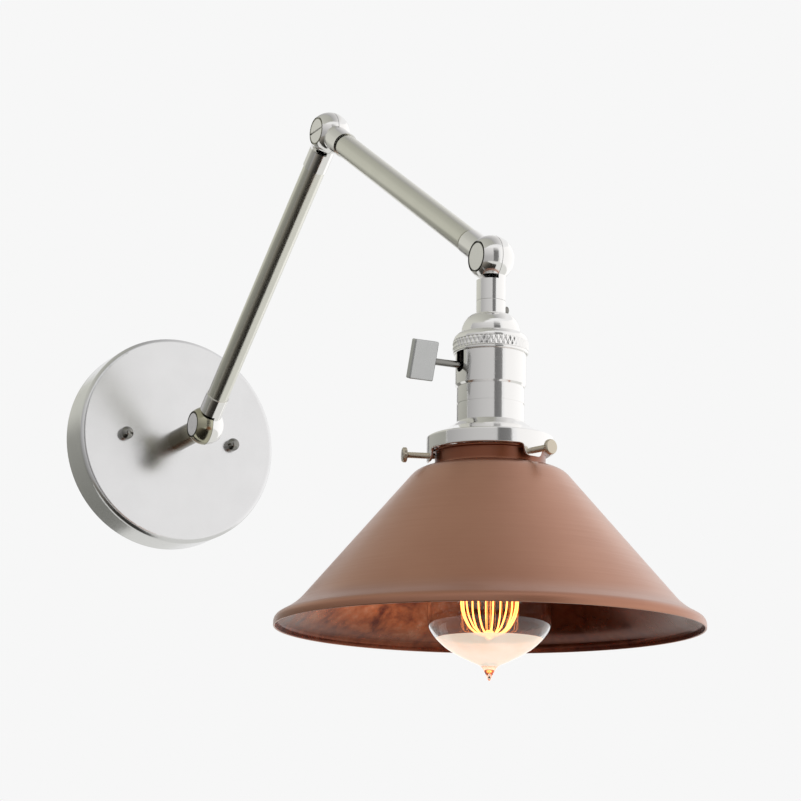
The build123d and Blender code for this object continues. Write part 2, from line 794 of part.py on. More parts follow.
# Ring nut on the shell's tail that clamps the holder from below
holder_slope = (holder_shoulder - shell_bottom) / (holder_collar_radius - holder_bore)
ring_nut_seat = (ring_nut_diameter / 2 - holder_bore) * holder_slope
ring_nut_top = shell_bottom + holder_wall + ring_nut_seat + seat_gap
with BuildPart() as ring_nut:
    with BuildSketch(head_level.offset(ring_nut_top)):
        Circle(ring_nut_diameter / 2)
        Circle(tail_radius + thread_fit, mode=Mode.SUBTRACT)
    extrude(amount=ring_nut_height)
save(ring_nut.part, "holder_ring_nut")

# Spun copper shade: a lipped neck, a rounded shoulder, a straight cone and a turned-down brim
shade_neck = holder_inner - shade_neck_gap
shade_edge = shade_diameter / 2
brim_corner = shade_rim - shade_edge_height
brim_start = brim_corner - shade_brim_drop
with BuildPart() as shade:
    with BuildSketch(head_section):
        with BuildLine():
            FilletPolyline(
                (shade_neck + shade_lip_width, shade_lip_bottom),
                (shade_neck, shade_lip_bottom),
                (shade_neck, shade_foot),
                (shade_neck + shade_shoulder_width, shade_foot + shade_shoulder_drop),
                (shade_edge - shade_brim_width, brim_start),
                (shade_edge, brim_corner),
                (shade_edge, shade_rim),
                radius=[
                    shade_lip_radius,
                    shade_neck_radius,
                    shade_shoulder_radius,
                    shade_brim_radius,
                    shade_edge_radius,
                ],
            )
            offset(amount=shade_wall, side=Side.RIGHT)
        make_face()
    revolve(axis=head_axis)
save(shade.part, "shade")

# Thumbscrews that reach in under the lip of the shade's neck
thumbscrew_start = shade_neck + thumbscrew_tip_gap
thumbscrew_head_start = holder_radius + thumbscrew_head_stand - thumbscrew_head_height
thumbscrew_names = ("thumbscrew_back", "thumbscrew_left", "thumbscrew_front")
for name, angle in zip(thumbscrew_names, ear_angles):
    thumbscrew_plane = facing_plane(angle, thumbscrew_level)
    with BuildPart() as thumbscrew:
        with BuildSketch(thumbscrew_plane.offset(thumbscrew_start)):
            Circle(thumbscrew_diameter / 2)
        extrude(amount=thumbscrew_head_start - thumbscrew_start)
        with BuildSketch(thumbscrew_plane.offset(thumbscrew_head_start)):
            Circle(thumbscrew_head_diameter / 2)
        extrude(amount=thumbscrew_head_height)
        head_faces = thumbscrew.faces().sort_by(Axis(head_pivot, radial(angle)))
        fillet(head_faces[-1].edges(), thumbscrew_head_radius)
    save(thumbscrew.part, name)

# Bulb: a rolled screw base with its black insulator and tip contact
base_radius = bulb_base_diameter / 2
base_root = base_radius - bulb_thread_depth
thread_turns = int(bulb_base_length / bulb_thread_pitch)
thread_start = bulb_base_bottom - thread_turns * bulb_thread_pitch
with BuildPart() as bulb_base:
    with BuildSketch(head_section):
        with BuildLine():
            Polyline(
                (base_root - bulb_base_wall, bulb_base_top),
                (base_root, bulb_base_top),
                *[
                    (base_root + bulb_thread_depth * (step % 2), thread_start + step * bulb_thread_pitch / 2)
                    for step in range(2 * thread_turns)
                ],
                (base_root, bulb_base_bottom),
                (base_root - bulb_base_wall, bulb_base_bottom),
                close=True,
            )
        make_face()
    revolve(axis=head_axis)
save(bulb_base.part, "bulb_base")

tip_radius = bulb_tip_contact_diameter / 2
with BuildPart() as bulb_insulator:
    with BuildSketch(head_section):
        with BuildLine():
            Polyline(
                (0, bulb_insulator_top),
                (tip_radius, bulb_insulator_top),
                (base_root, bulb_base_top),
                (0, bulb_base_top),
                close=True,
            )
        make_face()
    revolve(axis=head_axis)
save(bulb_insulator.part, "bulb_insulator")

with BuildPart() as bulb_contact:
    with BuildSketch(head_level.offset(bulb_top)):
        Circle(tip_radius)
    extrude(amount=bulb_tip_contact_height)
save(bulb_contact.part, "bulb_contact")

# Clear glass: a straight neck, a long taper, a shallow bowl and the pip where it was sealed
glass_neck = base_root - bulb_base_wall - thread_fit
glass_radius = bulb_diameter / 2
pip_foot = bulb_pip_foot_diameter / 2
pip_tip = bulb_pip_tip_diameter / 2
pip_end = bulb_bowl_bottom + bulb_pip_height
bowl_middle = bulb_bowl_middle_diameter / 2
bowl_middle_drop = bulb_widest + bulb_bowl_middle_drop
bowl_inside = bulb_bowl_bottom - bulb_glass_wall
downward = (0, 1)
with BuildPart() as bulb_glass:
    with BuildSketch(head_section):
        with BuildLine():
            Line((glass_neck, bulb_glass_top), (glass_neck, bulb_taper_top))
            Spline((glass_neck, bulb_taper_top), (glass_radius, bulb_widest), tangents=(downward, downward))
            Spline(
                (glass_radius, bulb_widest),
                (bowl_middle, bowl_middle_drop),
                (pip_foot, bulb_bowl_bottom),
                tangents=(downward, (-1, bulb_bowl_slope)),
            )
            Spline(
                (pip_foot, bulb_bowl_bottom),
                (bulb_pip_waist_diameter / 2, bulb_bowl_bottom + bulb_pip_waist_drop),
                (pip_tip, pip_end),
                tangents=((-1, bulb_bowl_slope), downward),
            )
            Polyline((pip_tip, pip_end), (0, pip_end), (0, bowl_inside), (pip_foot, bowl_inside))
            Spline(
                (pip_foot, bowl_inside),
                (bowl_middle - bulb_glass_wall, bowl_middle_drop - bulb_glass_wall),
                (glass_radius - bulb_glass_wall, bulb_widest),
                tangents=((1, -bulb_bowl_slope), (0, -1)),
            )
            Spline(
                (glass_radius - bulb_glass_wall, bulb_widest),
                (glass_neck - bulb_glass_wall, bulb_taper_top),
                tangents=((0, -1), (0, -1)),
            )
            Polyline(
                (glass_neck - bulb_glass_wall, bulb_taper_top),
                (glass_neck - bulb_glass_wall, bulb_glass_top),
                (glass_neck, bulb_glass_top),
            )
        make_face()
    revolve(axis=head_axis)
save(bulb_glass.part, "bulb_glass")

# Glass mount inside the bulb: a flare sealed in the neck, a stem and a rod with two beads
mount_flare = glass_neck - bulb_glass_wall - slide_fit
mount_stem_top = bulb_glass_top + mount_flare_length
mount_rod_top = mount_stem_top + mount_stem_length
cage_top = bulb_taper_top + cage_start
cage_bend = cage_top + cage_drop
cage_radius = cage_diameter / 2
hub_radius = cage_hub_diameter / 2
hub_drop = cage_bend + cage_radius - hub_radius
bead_radius = hub_radius - cage_hub_width / 2 - slide_fit
with BuildPart() as glass_mount:
    with BuildSketch(head_section):
        with BuildLine():
            Polyline(
                (0, bulb_glass_top),
                (mount_flare, bulb_glass_top),
                (mount_flare, bulb_glass_top + bulb_glass_wall),
                (mount_stem_diameter / 2, mount_stem_top),
                (mount_stem_diameter / 2, mount_rod_top),
                (mount_rod_diameter / 2, mount_rod_top + mount_stem_diameter / 2),
                (mount_rod_diameter / 2, hub_drop),
                (0, hub_drop),
                close=True,
            )
        make_face()
    revolve(axis=head_axis)
    with BuildSketch(head_section):
        for drop in (cage_top, hub_drop):
            with Locations((0, drop)):
                Circle(bead_radius)
        Rectangle(2 * cage_diameter, 4 * hub_drop, align=(Align.MIN, Align.CENTER), mode=Mode.INTERSECT)
    revolve(axis=head_axis)
save(glass_mount.part, "glass_mount")

# Filament: strands that hang in a cage, turn in to a hub and are looped in pairs at the top.
# It is drawn upright, with +Z for the drop, and then set in the head.
strand_step = 360 / filament_strands
filament_radius = filament_diameter / 2
half_step = math.radians(strand_step / 2)
link_radius = cage_radius * math.cos(half_step)
link_angles = [(2 * pair + 0.5) * strand_step for pair in range(filament_strands // 2)]
drop_axis = Vector(0, 0, 1)
with BuildPart() as filament:
    for strand in range(filament_strands):
        outside = side_axis.rotate(Axis.Z, strand * strand_step)
        with BuildLine(Plane(origin=(0, 0, 0), x_dir=outside, z_dir=outside.cross(drop_axis))) as strand_path:
            Line((cage_radius, cage_top), (cage_radius, cage_bend))
            TangentArc((cage_radius, cage_bend), (hub_radius, hub_drop), tangent=downward)
        with BuildSketch(Plane(origin=strand_path.line @ 0, z_dir=drop_axis)):
            Circle(filament_radius)
        sweep(path=strand_path.line)
    for angle in link_angles:
        outside = side_axis.rotate(Axis.Z, angle)
        link_centre = outside * link_radius + drop_axis * cage_top
        with BuildSketch(Plane(origin=link_centre, x_dir=drop_axis, z_dir=drop_axis.cross(outside))):
            Circle(filament_radius)
        extrude(amount=cage_radius * math.sin(half_step), both=True)
    with Locations(Plane.XY.offset(cage_top)):
        with PolarLocations(cage_radius, filament_strands):
            Sphere(cage_joint_diameter / 2)
    with BuildSketch(Plane.XY.offset(hub_drop)):
        Circle(hub_radius + cage_hub_width / 2)
        Circle(hub_radius - cage_hub_width / 2, mode=Mode.SUBTRACT)
    extrude(amount=cage_hub_height / 2, both=True)
save(filament.part.moved(head_level.location), "filament")

# Wires from the upper bead that hold the filament's loops
spoke_start = bead_radius + slide_fit
spoke_end = link_radius - filament_radius - slide_fit
with BuildPart() as support_wires:
    for angle in link_angles:
        with BuildSketch(facing_plane(-angle, cage_top).offset(spoke_start)):
            Circle(support_wire_diameter / 2)
        extrude(amount=spoke_end - spoke_start)
save(support_wires.part, "support_wires")
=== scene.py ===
import json
import math

import bmesh
import bpy
import numpy as np
from mathutils import Matrix, Vector


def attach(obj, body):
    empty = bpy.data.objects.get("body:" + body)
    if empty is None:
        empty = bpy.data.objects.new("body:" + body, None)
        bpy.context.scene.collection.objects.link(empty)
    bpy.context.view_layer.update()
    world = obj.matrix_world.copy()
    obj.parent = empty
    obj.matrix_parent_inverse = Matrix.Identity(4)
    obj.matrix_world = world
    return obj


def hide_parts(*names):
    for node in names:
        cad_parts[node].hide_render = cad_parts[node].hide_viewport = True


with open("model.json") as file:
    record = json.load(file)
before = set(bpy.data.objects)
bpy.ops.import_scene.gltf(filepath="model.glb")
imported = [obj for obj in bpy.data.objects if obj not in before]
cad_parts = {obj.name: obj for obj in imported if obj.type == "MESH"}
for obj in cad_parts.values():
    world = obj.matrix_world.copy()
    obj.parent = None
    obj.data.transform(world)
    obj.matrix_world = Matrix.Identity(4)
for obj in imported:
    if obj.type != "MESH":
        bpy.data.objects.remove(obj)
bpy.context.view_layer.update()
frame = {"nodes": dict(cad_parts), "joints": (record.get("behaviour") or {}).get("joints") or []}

bl_info = {
    "name": "Folding arm wall lamp",
    "version": (1, 0, 0),
    "blender": (4, 5, 0),
    "location": "3D View > Sidebar > Wall Lamp",
    "description": "Dresses the wall lamp in nickel, copper and glass, with a glowing filament",
    "category": "Object",
}

MM = 0.001
JOINTS = {joint["name"]: joint for joint in frame["joints"]}
SIDE = np.array((1.0, 0.0, 0.0))
HEAD_PIVOT = np.array(JOINTS["head_tilt"]["pos_m"]) / MM
HEAD_DOWN = np.array(JOINTS["bulb_out"]["axis"])
HEAD_TURN = math.degrees(math.atan2(HEAD_DOWN[1], -HEAD_DOWN[2]))

# Arm tubes: their radius, and places along an arm from its pivots, in millimetres
TUBE_RADIUS = 6.35
TUBE_INSET = 14.2
COLLAR_MOUTH = 23.0
TUBE_SIDES = 96

# Knuckles: each one's joint and the painted shade's tone round its discs, the discs' edge from the pivot's
# line and half the width over which that tone comes in, and the stem's Y where its painted shade starts and
# is full
KNUCKLES = {
    "base": ("base_fold", "#3a3829"), "elbow": ("elbow_fold", "#8f8d80"), "head": ("head_tilt", "#25231b")}
DISC_EDGE = 6.65
DISC_BLUR = 0.2
STEM_SHADE_SPAN = (-58.0, -40.0)

# Socket's cap: drops below the head pivot, then radii about the head's axis, in millimetres
CAP_TOP = 21.4
CAP_DOME = 28.0
CAP_SHOULDER = 37.7
CAP_KNURL = 41.6
CAP_BEAD = 46.2
CAP_BOTTOM = 47.9
CAP_HOLE = 4.9
CAP_NECK = 7.15
CAP_WAIST = 14.4
CAP_RADIUS = 18.1
CAP_BEAD_RADIUS = 18.2
CAP_BORE = 17.15
CAP_WALL = 1.1

# Knurl of the cap: columns for a diamond, its height as a share of the knurl's depth, how far the band is cut
# before the diamonds stand on it, and the rows' spacing on the band and elsewhere
KNURL_SIDES = 8
KNURL_GAIN = 1.6
KNURL_CUT = 0.25
KNURL_STEP = 0.3
CAP_STEP = 0.5

# A point this near to a face's radius counts as on the face
ON_FACE = 0.05

# Shade holder: drops and radii as for the cap, the ears' drop below the skirt, and their outline as the ear's
# share of that drop at distances aside from its middle
SHELL_BOTTOM = 81.4
HOLDER_SHOULDER = 85.0
SKIRT_TOP = 88.9
SKIRT_BEND = 91.9
SKIRT_BOTTOM = 95.8
HOLDER_HOLE = 15.4
HOLDER_COLLAR = 16.4
HOLDER_STEP = 21.0
HOLDER_RADIUS = 30.5
HOLDER_WALL = 1.3
HOLDER_LIP = 0.5
HOLDER_SIDES = 720
HOLDER_SPACING = 0.6
SKIRT_ROWS = 13
EAR_ANGLES = {"back": 41.7, "left": 161.7, "front": 281.7}
EAR_DROP = 5.8
EAR_ASIDE = (0, 2.4, 3.6, 4.6, 5.3, 5.7, 6.2, 7.0, 8.2)
EAR_SHARE = (1, 1, 0.96, 0.86, 0.62, 0.3, 0.13, 0.04, 0)

# Thumbscrews: their level below the head pivot, then distances out from the head's axis and radii
THUMBSCREW_LEVEL = 98.5
SCREW_TIP = 26.7
SCREW_HEAD = 40.5
SCREW_END = 42.8
SHANK_RADIUS = 1.55
SHANK_NECK = 1.3
SCREW_RADIUS = 3.65
SCREW_KNURLS = 24
SCREW_KNURL_DEPTH = 0.18
SCREW_SIDES = 120

# Shade: drops and radii as for the cap
SHADE_LIP = 96.65
SHADE_FOOT = 103.3
SHADE_SHOULDER = (35.0, 104.4)
BRIM_BEND = (91.6, 170.4)
BRIM_EDGE = 175.9
SHADE_RIM = 180.1
SHADE_LIP_RADIUS = 28.2
SHADE_NECK = 26.4
SHADE_RADIUS = 101.6
SHADE_SPACING = 2.5
SHADE_SIDES = 240

# Bulb: drops and radii as for the cap
GLASS_TOP = 82.3
TAPER_TOP = 96.3
BULB_WIDEST = 174.6
GLASS_NECK = 12.1
BULB_RADIUS = 29.5
TAPER_ROWS = 60
BULB_SIDES = 160

# Bulb's bowl: radius and drop below the widest place, for the wall, the pip outside and the floor inside, and
# the drops between which the glass has a painted glow
BOWL_WALL = [
    (BULB_RADIUS, 0), (28.9, 4.4), (26.6, 8.2), (23.6, 11.5), (20.0, 14.6), (15.9, 17.1), (12.2, 19.0),
    (8.9, 20.6)]
BOWL_PIP = [
    (5.9, 21.8), (4.3, 22.7), (3.2, 23.9), (2.3, 25.4), (1.5, 27.0), (0.9, 28.5), (0.35, 29.4), (0.0, 29.6)]
BOWL_FLOOR = [(4.0, 22.0), (0.0, 22.4)]
GLOW_BAND_TOP = 9.5
GLOW_BAND_FOOT = 23.0

# Filament: drops and radii as for the cap, the height of the strands' bend, how far a strand bows out, the
# rise of the loops, the radius of the hub's wire, the pairs of strands, and the first pair's turn as a share
# of the gap between strands
CAGE_TOP = 133.3
HUB_DROP = 182.5
CAGE_RADIUS = 13.5
HUB_RADIUS = 3.0
CAGE_FOOT = 16.0
STRAND_BOW = 0.5
LOOP_RISE = 3.2
HUB_WIRE = 0.55
STRAND_PAIRS = 6
FIRST_STRAND = 0.28
HUB_SIDES = 48

# Camera of the photograph: angles in degrees, lens and sensor in millimetres, place in metres
CAMERA_YAW = 28.89
CAMERA_PITCH = 14.60
CAMERA_ROLL = -0.80
CAMERA_LENS = 115.42
CAMERA_SENSOR = 36.0
CAMERA_PLACE = (-0.6123, -1.4110, -0.3711)

# Studio in metres: the point that the cards and the key lamp stand round, the lamp, the floor and the cards
MIDDLE = Vector((0.0, -0.25, 0.0))
KEY_PLACE = (1.1, -1.0, 0.9)
KEY_SIZE = 1.1
FLOOR_LEVEL = -0.75
FLOOR_REACH = 4.0
CARD_FOOT = -0.74
CARD_TOP = 1.1
CEILING = 1.2
CARD_REACH = 1.5

# Meshes: points of a rounded corner, and distances in millimetres below which points merge and slivers go
CORNER_STEPS = 7
MERGE = 0.002
SLIVER = 0.001

# Where nearly all values of a noise texture lie
NOISE_LOW = 0.25
NOISE_HIGH = 0.75


def linear(code):
    """An sRGB hex colour as linear red, green, blue and full alpha."""
    value = np.array([int(code[i:i + 2], 16) for i in (1, 3, 5)]) / 255
    low = value / 12.92
    high = ((value + 0.055) / 1.055) ** 2.4
    return (*np.where(value <= 0.04045, low, high).tolist(), 1.0)


def length(name, description, millimetres):
    """A length that a user may change, given in millimetres and kept in metres."""
    return bpy.props.FloatProperty(
        name=name, description=description, default=millimetres * MM, min=0.0, precision=5,
        subtype="DISTANCE", unit="LENGTH")


def colour(name, description, code):
    """A colour that a user may change, given as an sRGB hex code."""
    return bpy.props.FloatVectorProperty(
        name=name, description=description, default=linear(code), size=4, min=0.0, max=1.0,
        subtype="COLOR")


def amount(name, description, default, top=1.0):
    """A plain share or strength that a user may change."""
    return bpy.props.FloatProperty(
        name=name, description=description, default=default, min=0.0, max=top)


class LampSizes(bpy.types.PropertyGroup):
    """Fine sizes that the solids leave out."""
    knurl_depth: length("Knurl depth", "Height of the diamonds on the cap's band", 0.3)
    knurl_count: bpy.props.IntProperty(
        name="Knurl count", description="Diamonds round the cap", default=50, min=12)
    thread_depth: length("Thread depth", "Depth of the thumbscrews' thread", 0.22)
    thread_pitch: length("Thread pitch", "Distance between two turns of that thread", 0.8)
    tube_wall: length("Tube wall", "Thickness of the arm tubes", 1.0)
    groove_width: length("Groove width", "Width of the grooves at the upper tube's collars", 1.9)
    groove_depth: length("Groove depth", "Depth of those grooves", 0.7)
    shade_wall: length("Shade wall", "Thickness of the copper", 0.9)
    glass_wall: length("Glass wall", "Thickness of the bulb's glass", 0.8)
    filament_width: length("Filament width", "Diameter of a glowing strand", 0.75)


class LampFinishes(bpy.types.PropertyGroup):
    """Colours of the metals, the glass and the glow."""
    satin: colour("Satin nickel", "Brushed nickel of the arms", "#e5e4dc")
    plate: colour("Plate nickel", "Brushed nickel of the wall plate", "#e4e4e5")
    bright: colour("Bright nickel", "Polished nickel of the socket and the knuckles", "#f3f2f1")
    dark: colour("Dark nickel", "Dark nickel of the nuts and the switch's shaft", "#8d8c88")
    warm: colour("Warm nickel", "Warm nickel of the thumbscrews", "#cfc5b4")
    # The stem's nickel is a darker copy of the balls' nickel, as painted shade; the colour after it is more
    # painted shade near the plate.
    stem: colour("Stem nickel", "Nickel of the stem where it is wiped", "#b4b19c")
    painted_stem_shade: colour("Tarnish", "Dark tone of the stem near the plate", "#5f5846")
    copper: colour("Copper", "Matt copper outside the shade", "#c59075")
    copper_shade: colour("Copper, deeper", "Deeper tone in the matt copper", "#ba8369")
    oxide: colour("Oxide", "Dark oxide inside the shade", "#6b2a14")
    # At half its light this also paints the outer copper's neck as shade under the holder, and deepens its
    # brim.
    flame: colour("Bare copper", "Copper between the oxide, and deeper at the shade's ends", "#c06a3e")
    glow: colour("Glow", "Light of the filament", "#ff8840")


class LampStudio(bpy.types.PropertyGroup):
    """Light, floor and background."""
    background: colour("Background", "Pale studio background", "#f7f7f7")
    floor: colour("Floor", "Pale studio floor", "#e6e6e2")
    grey_card: colour("Grey card", "Full tone of the cards in front and to the right", "#f9f8f7")
    warm_card: colour("Warm card", "Full tone of the cards to the left and above", "#fdfdf2")
    floor_card: colour("Floor card", "Full tone of the card on the floor", "#fff7e7")
    fill: amount("Fill", "Strength of the even light from all round", 0.5)
    key: amount("Key", "Power of the large soft lamp in watts", 9.0, 100.0)
    glow: amount("Glow", "Strength of the filament", 8.0, 100.0)


def add(tree, kind, inputs=None, **settings):
    """Add one node with its own settings, then set each named input or link it to a socket."""
    node = tree.nodes.new(kind)
    for name, value in settings.items():
        setattr(node, name, value)
    for name, value in (inputs or {}).items():
        if isinstance(value, bpy.types.NodeSocket):
            tree.links.new(value, node.inputs[name])
        else:
            node.inputs[name].default_value = value
    return node


def new_material(name):
    """An empty material and its node tree."""
    material = bpy.data.materials.new(name)
    material.use_nodes = True
    material.node_tree.nodes.clear()
    return material, material.node_tree


def deeper(tone, share):
    """The same colour at a share of its light."""
    return (tone[0] * share, tone[1] * share, tone[2] * share, 1.0)


def worked_metal(name, tone, roughness, marks, turn, relief, cloud=0.9, painted_shade=None):
    """Metal with tool marks. Noise stretched to the marks' size in millimetres, along axes turned
    about X, shifts the roughness and lifts a fine bump, and slow noise of 22 mm shifts the tone between the
    full one and its cloud's share of light. A painted shade is a second tone with the function that gives its
    share at a place."""
    found = bpy.data.materials.get(name)
    if found:
        return found
    material, tree = new_material(name)
    place = add(tree, "ShaderNodeTexCoord").outputs["Object"]
    grain = add(tree, "ShaderNodeMapping", {
        "Vector": place, "Rotation": (math.radians(turn), 0.0, 0.0),
        "Scale": [size * MM for size in marks]}, vector_type="TEXTURE")
    lines = add(tree, "ShaderNodeTexNoise", {"Vector": grain.outputs[0], "Scale": 1.0, "Detail": 3.0})
    slow = add(tree, "ShaderNodeTexNoise", {"Vector": place, "Scale": 1 / (22 * MM), "Detail": 2.0})
    tones = add(tree, "ShaderNodeMix", {
        0: slow.outputs[0], 6: deeper(tone, cloud), 7: tuple(tone)}, data_type="RGBA")
    if painted_shade:
        second, share = painted_shade
        tones = add(tree, "ShaderNodeMix", {
            0: share(tree, place), 6: tones.outputs[2], 7: second}, data_type="RGBA")
    spread = add(tree, "ShaderNodeMapRange", {
        "Value": lines.outputs[0], "From Min": NOISE_LOW, "From Max": NOISE_HIGH,
        "To Min": roughness[0], "To Max": roughness[1]})
    bump = add(tree, "ShaderNodeBump", {
        "Height": lines.outputs[0], "Strength": relief, "Distance": 0.1 * MM})
    shader = add(tree, "ShaderNodeBsdfPrincipled", {
        "Base Color": tones.outputs[2], "Metallic": 1.0, "Roughness": spread.outputs[0],
        "Normal": bump.outputs[0]})
    add(tree, "ShaderNodeOutputMaterial", {"Surface": shader.outputs[0]})
    return material


def arm_turn(start, end):
    """Angle about X that turns Z onto the line between two joints."""
    run = np.array(JOINTS[end]["pos_m"]) - np.array(JOINTS[start]["pos_m"])
    return math.degrees(math.atan2(-run[1], run[2]))


def finishes():
    """The colours that the panel lists."""
    return bpy.context.scene.lamp_finishes


def satin_nickel(name, turn):
    # Satin nickel plate on drawn tube: a soft sheen with faint lines along the tube. The lines are
    # about 0.1 mm apart on the real one, and are drawn at 0.5 mm so that they show.
    return worked_metal(name, finishes().satin, (0.18, 0.26), (0.5, 0.5, 45.0), turn, 0.02)


def plate_nickel():
    # Satin nickel on spun brass: blurred reflections with no clear direction, from a fine grit.
    return worked_metal(
        "satin_nickel_plate", finishes().plate, (0.19, 0.25), (1.0, 6.0, 1.0), 0.0, 0.03)


def bright_nickel():
    # Polished nickel on turned brass: clear reflections and fine rings round the head's axis.
    return worked_metal(
        "polished_nickel_socket", finishes().bright, (0.1, 0.15), (14.0, 14.0, 0.5), HEAD_TURN, 0.004, 0.97)


def knuckle_nickel():
    # Polished nickel on the turned balls: clear reflections, with rings round the pivots.
    return worked_metal(
        "polished_nickel_balls", finishes().bright, (0.1, 0.16), (0.5, 12.0, 12.0), 0.0, 0.006, 0.97)


def pivot_nickel(knuckle, joint, rim):
    """Disc whose tone turns to the rim's painted shade past a distance from the joint's line."""
    # Satin nickel on the pivots' discs: turned flat, so it is paler and softer than the balls, with
    # painted shade round the edge, where the gap between disc and ball lies.
    def edge(tree, place):
        away = add(tree, "ShaderNodeVectorMath", {
            0: place, 1: JOINTS[joint]["pos_m"]}, operation="SUBTRACT")
        flat = add(tree, "ShaderNodeVectorMath", {
            0: away.outputs[0], 1: (0.0, 1.0, 1.0)}, operation="MULTIPLY")
        reach = add(tree, "ShaderNodeVectorMath", {0: flat.outputs[0]}, operation="LENGTH")
        return add(tree, "ShaderNodeMapRange", {
            "Value": reach.outputs["Value"], "From Min": (DISC_EDGE - DISC_BLUR) * MM,
            "From Max": (DISC_EDGE + DISC_BLUR) * MM}).outputs[0]

    return worked_metal(
        f"satin_nickel_{knuckle}_pivot", finishes().bright, (0.3, 0.4), (3.0, 0.6, 0.6), 0.0, 0.02, 0.97,
        (linear(rim), edge))


def stem_nickel():
    """Stem whose tone deepens along Y towards the plate, as painted shade."""
    # Nickel of the stem and its ball half, a darker copy of the balls' nickel as painted shade, with more
    # painted shade near the plate: dark olive there, and paler at the ball.
    def painted_stem_shade(tree, place):
        out = add(tree, "ShaderNodeSeparateXYZ", {0: place})
        return add(tree, "ShaderNodeMapRange", {
            "Value": out.outputs["Y"], "From Min": STEM_SHADE_SPAN[0] * MM, "From Max": STEM_SHADE_SPAN[1] * MM}).outputs[0]

    return worked_metal(
        "stem_nickel_painted_shade", finishes().stem, (0.12, 0.2), (1.5, 12.0, 1.5), 0.0, 0.02, 0.9,
        (tuple(finishes().painted_stem_shade), painted_stem_shade))


def painted_groove_shade():
    # Painted shade in the groove at the upper tube's first collar: near black and half dull.
    return dull_solid("painted_groove_shade", linear("#14120f"), 0.5, 1.0, 0.1)


def dark_nickel():
    # Dark polished nickel on small turned parts: mid grey, with sharp highlights.
    return worked_metal("dark_nickel_plate", finishes().dark, (0.12, 0.2), (1.5, 1.5, 1.5), 0.0, 0.04)


def warm_nickel():
    # Nickel worn thin over brass on the parts that hands touch: warmer and deeper than the rest.
    return worked_metal("worn_nickel", finishes().warm, (0.14, 0.22), (1.5, 1.5, 1.5), 0.0, 0.02)


def zinc_plate():
    # Bright zinc on pressed steel: pale blue-grey and slightly uneven.
    return worked_metal("zinc_plated_steel", linear("#b9bcbf"), (0.28, 0.42), (2.0, 2.0, 2.0), 0.0, 0.08)


def plain_brass():
    # Rolled brass of the lamp contacts: yellow and half bright.
    return worked_metal("rolled_brass", linear("#cda75e"), (0.22, 0.34), (8.0, 8.0, 0.6), HEAD_TURN, 0.08)


def dull_solid(name, tone, roughness, grit, relief):
    """Matt solid with a grit of the given size in millimetres in its tone and its bump."""
    material, tree = new_material(name)
    place = add(tree, "ShaderNodeTexCoord").outputs["Object"]
    speck = add(tree, "ShaderNodeTexNoise", {"Vector": place, "Scale": 1 / (grit * MM), "Detail": 4.0})
    tones = add(tree, "ShaderNodeMix", {
        0: speck.outputs[0], 6: deeper(tone, 0.7), 7: tone}, data_type="RGBA")
    bump = add(tree, "ShaderNodeBump", {
        "Height": speck.outputs[0], "Strength": relief, "Distance": 0.2 * MM})
    shader = add(tree, "ShaderNodeBsdfPrincipled", {
        "Base Color": tones.outputs[2], "Roughness": roughness, "Normal": bump.outputs[0]})
    add(tree, "ShaderNodeOutputMaterial", {"Surface": shader.outputs[0]})
    return material


def above_rim(tree, place, unit=1.0):
    """Height above the shade's rim along the head's axis, in units of the given millimetres."""
    rim = (HEAD_PIVOT + HEAD_DOWN * SHADE_RIM) * MM
    axis = add(tree, "ShaderNodeMapping", {
        "Vector": place, "Location": rim, "Rotation": (math.radians(HEAD_TURN), 0.0, 0.0),
        "Scale": [unit * MM] * 3}, vector_type="TEXTURE")
    return add(tree, "ShaderNodeSeparateXYZ", {0: axis.outputs[0]}).outputs["Z"]


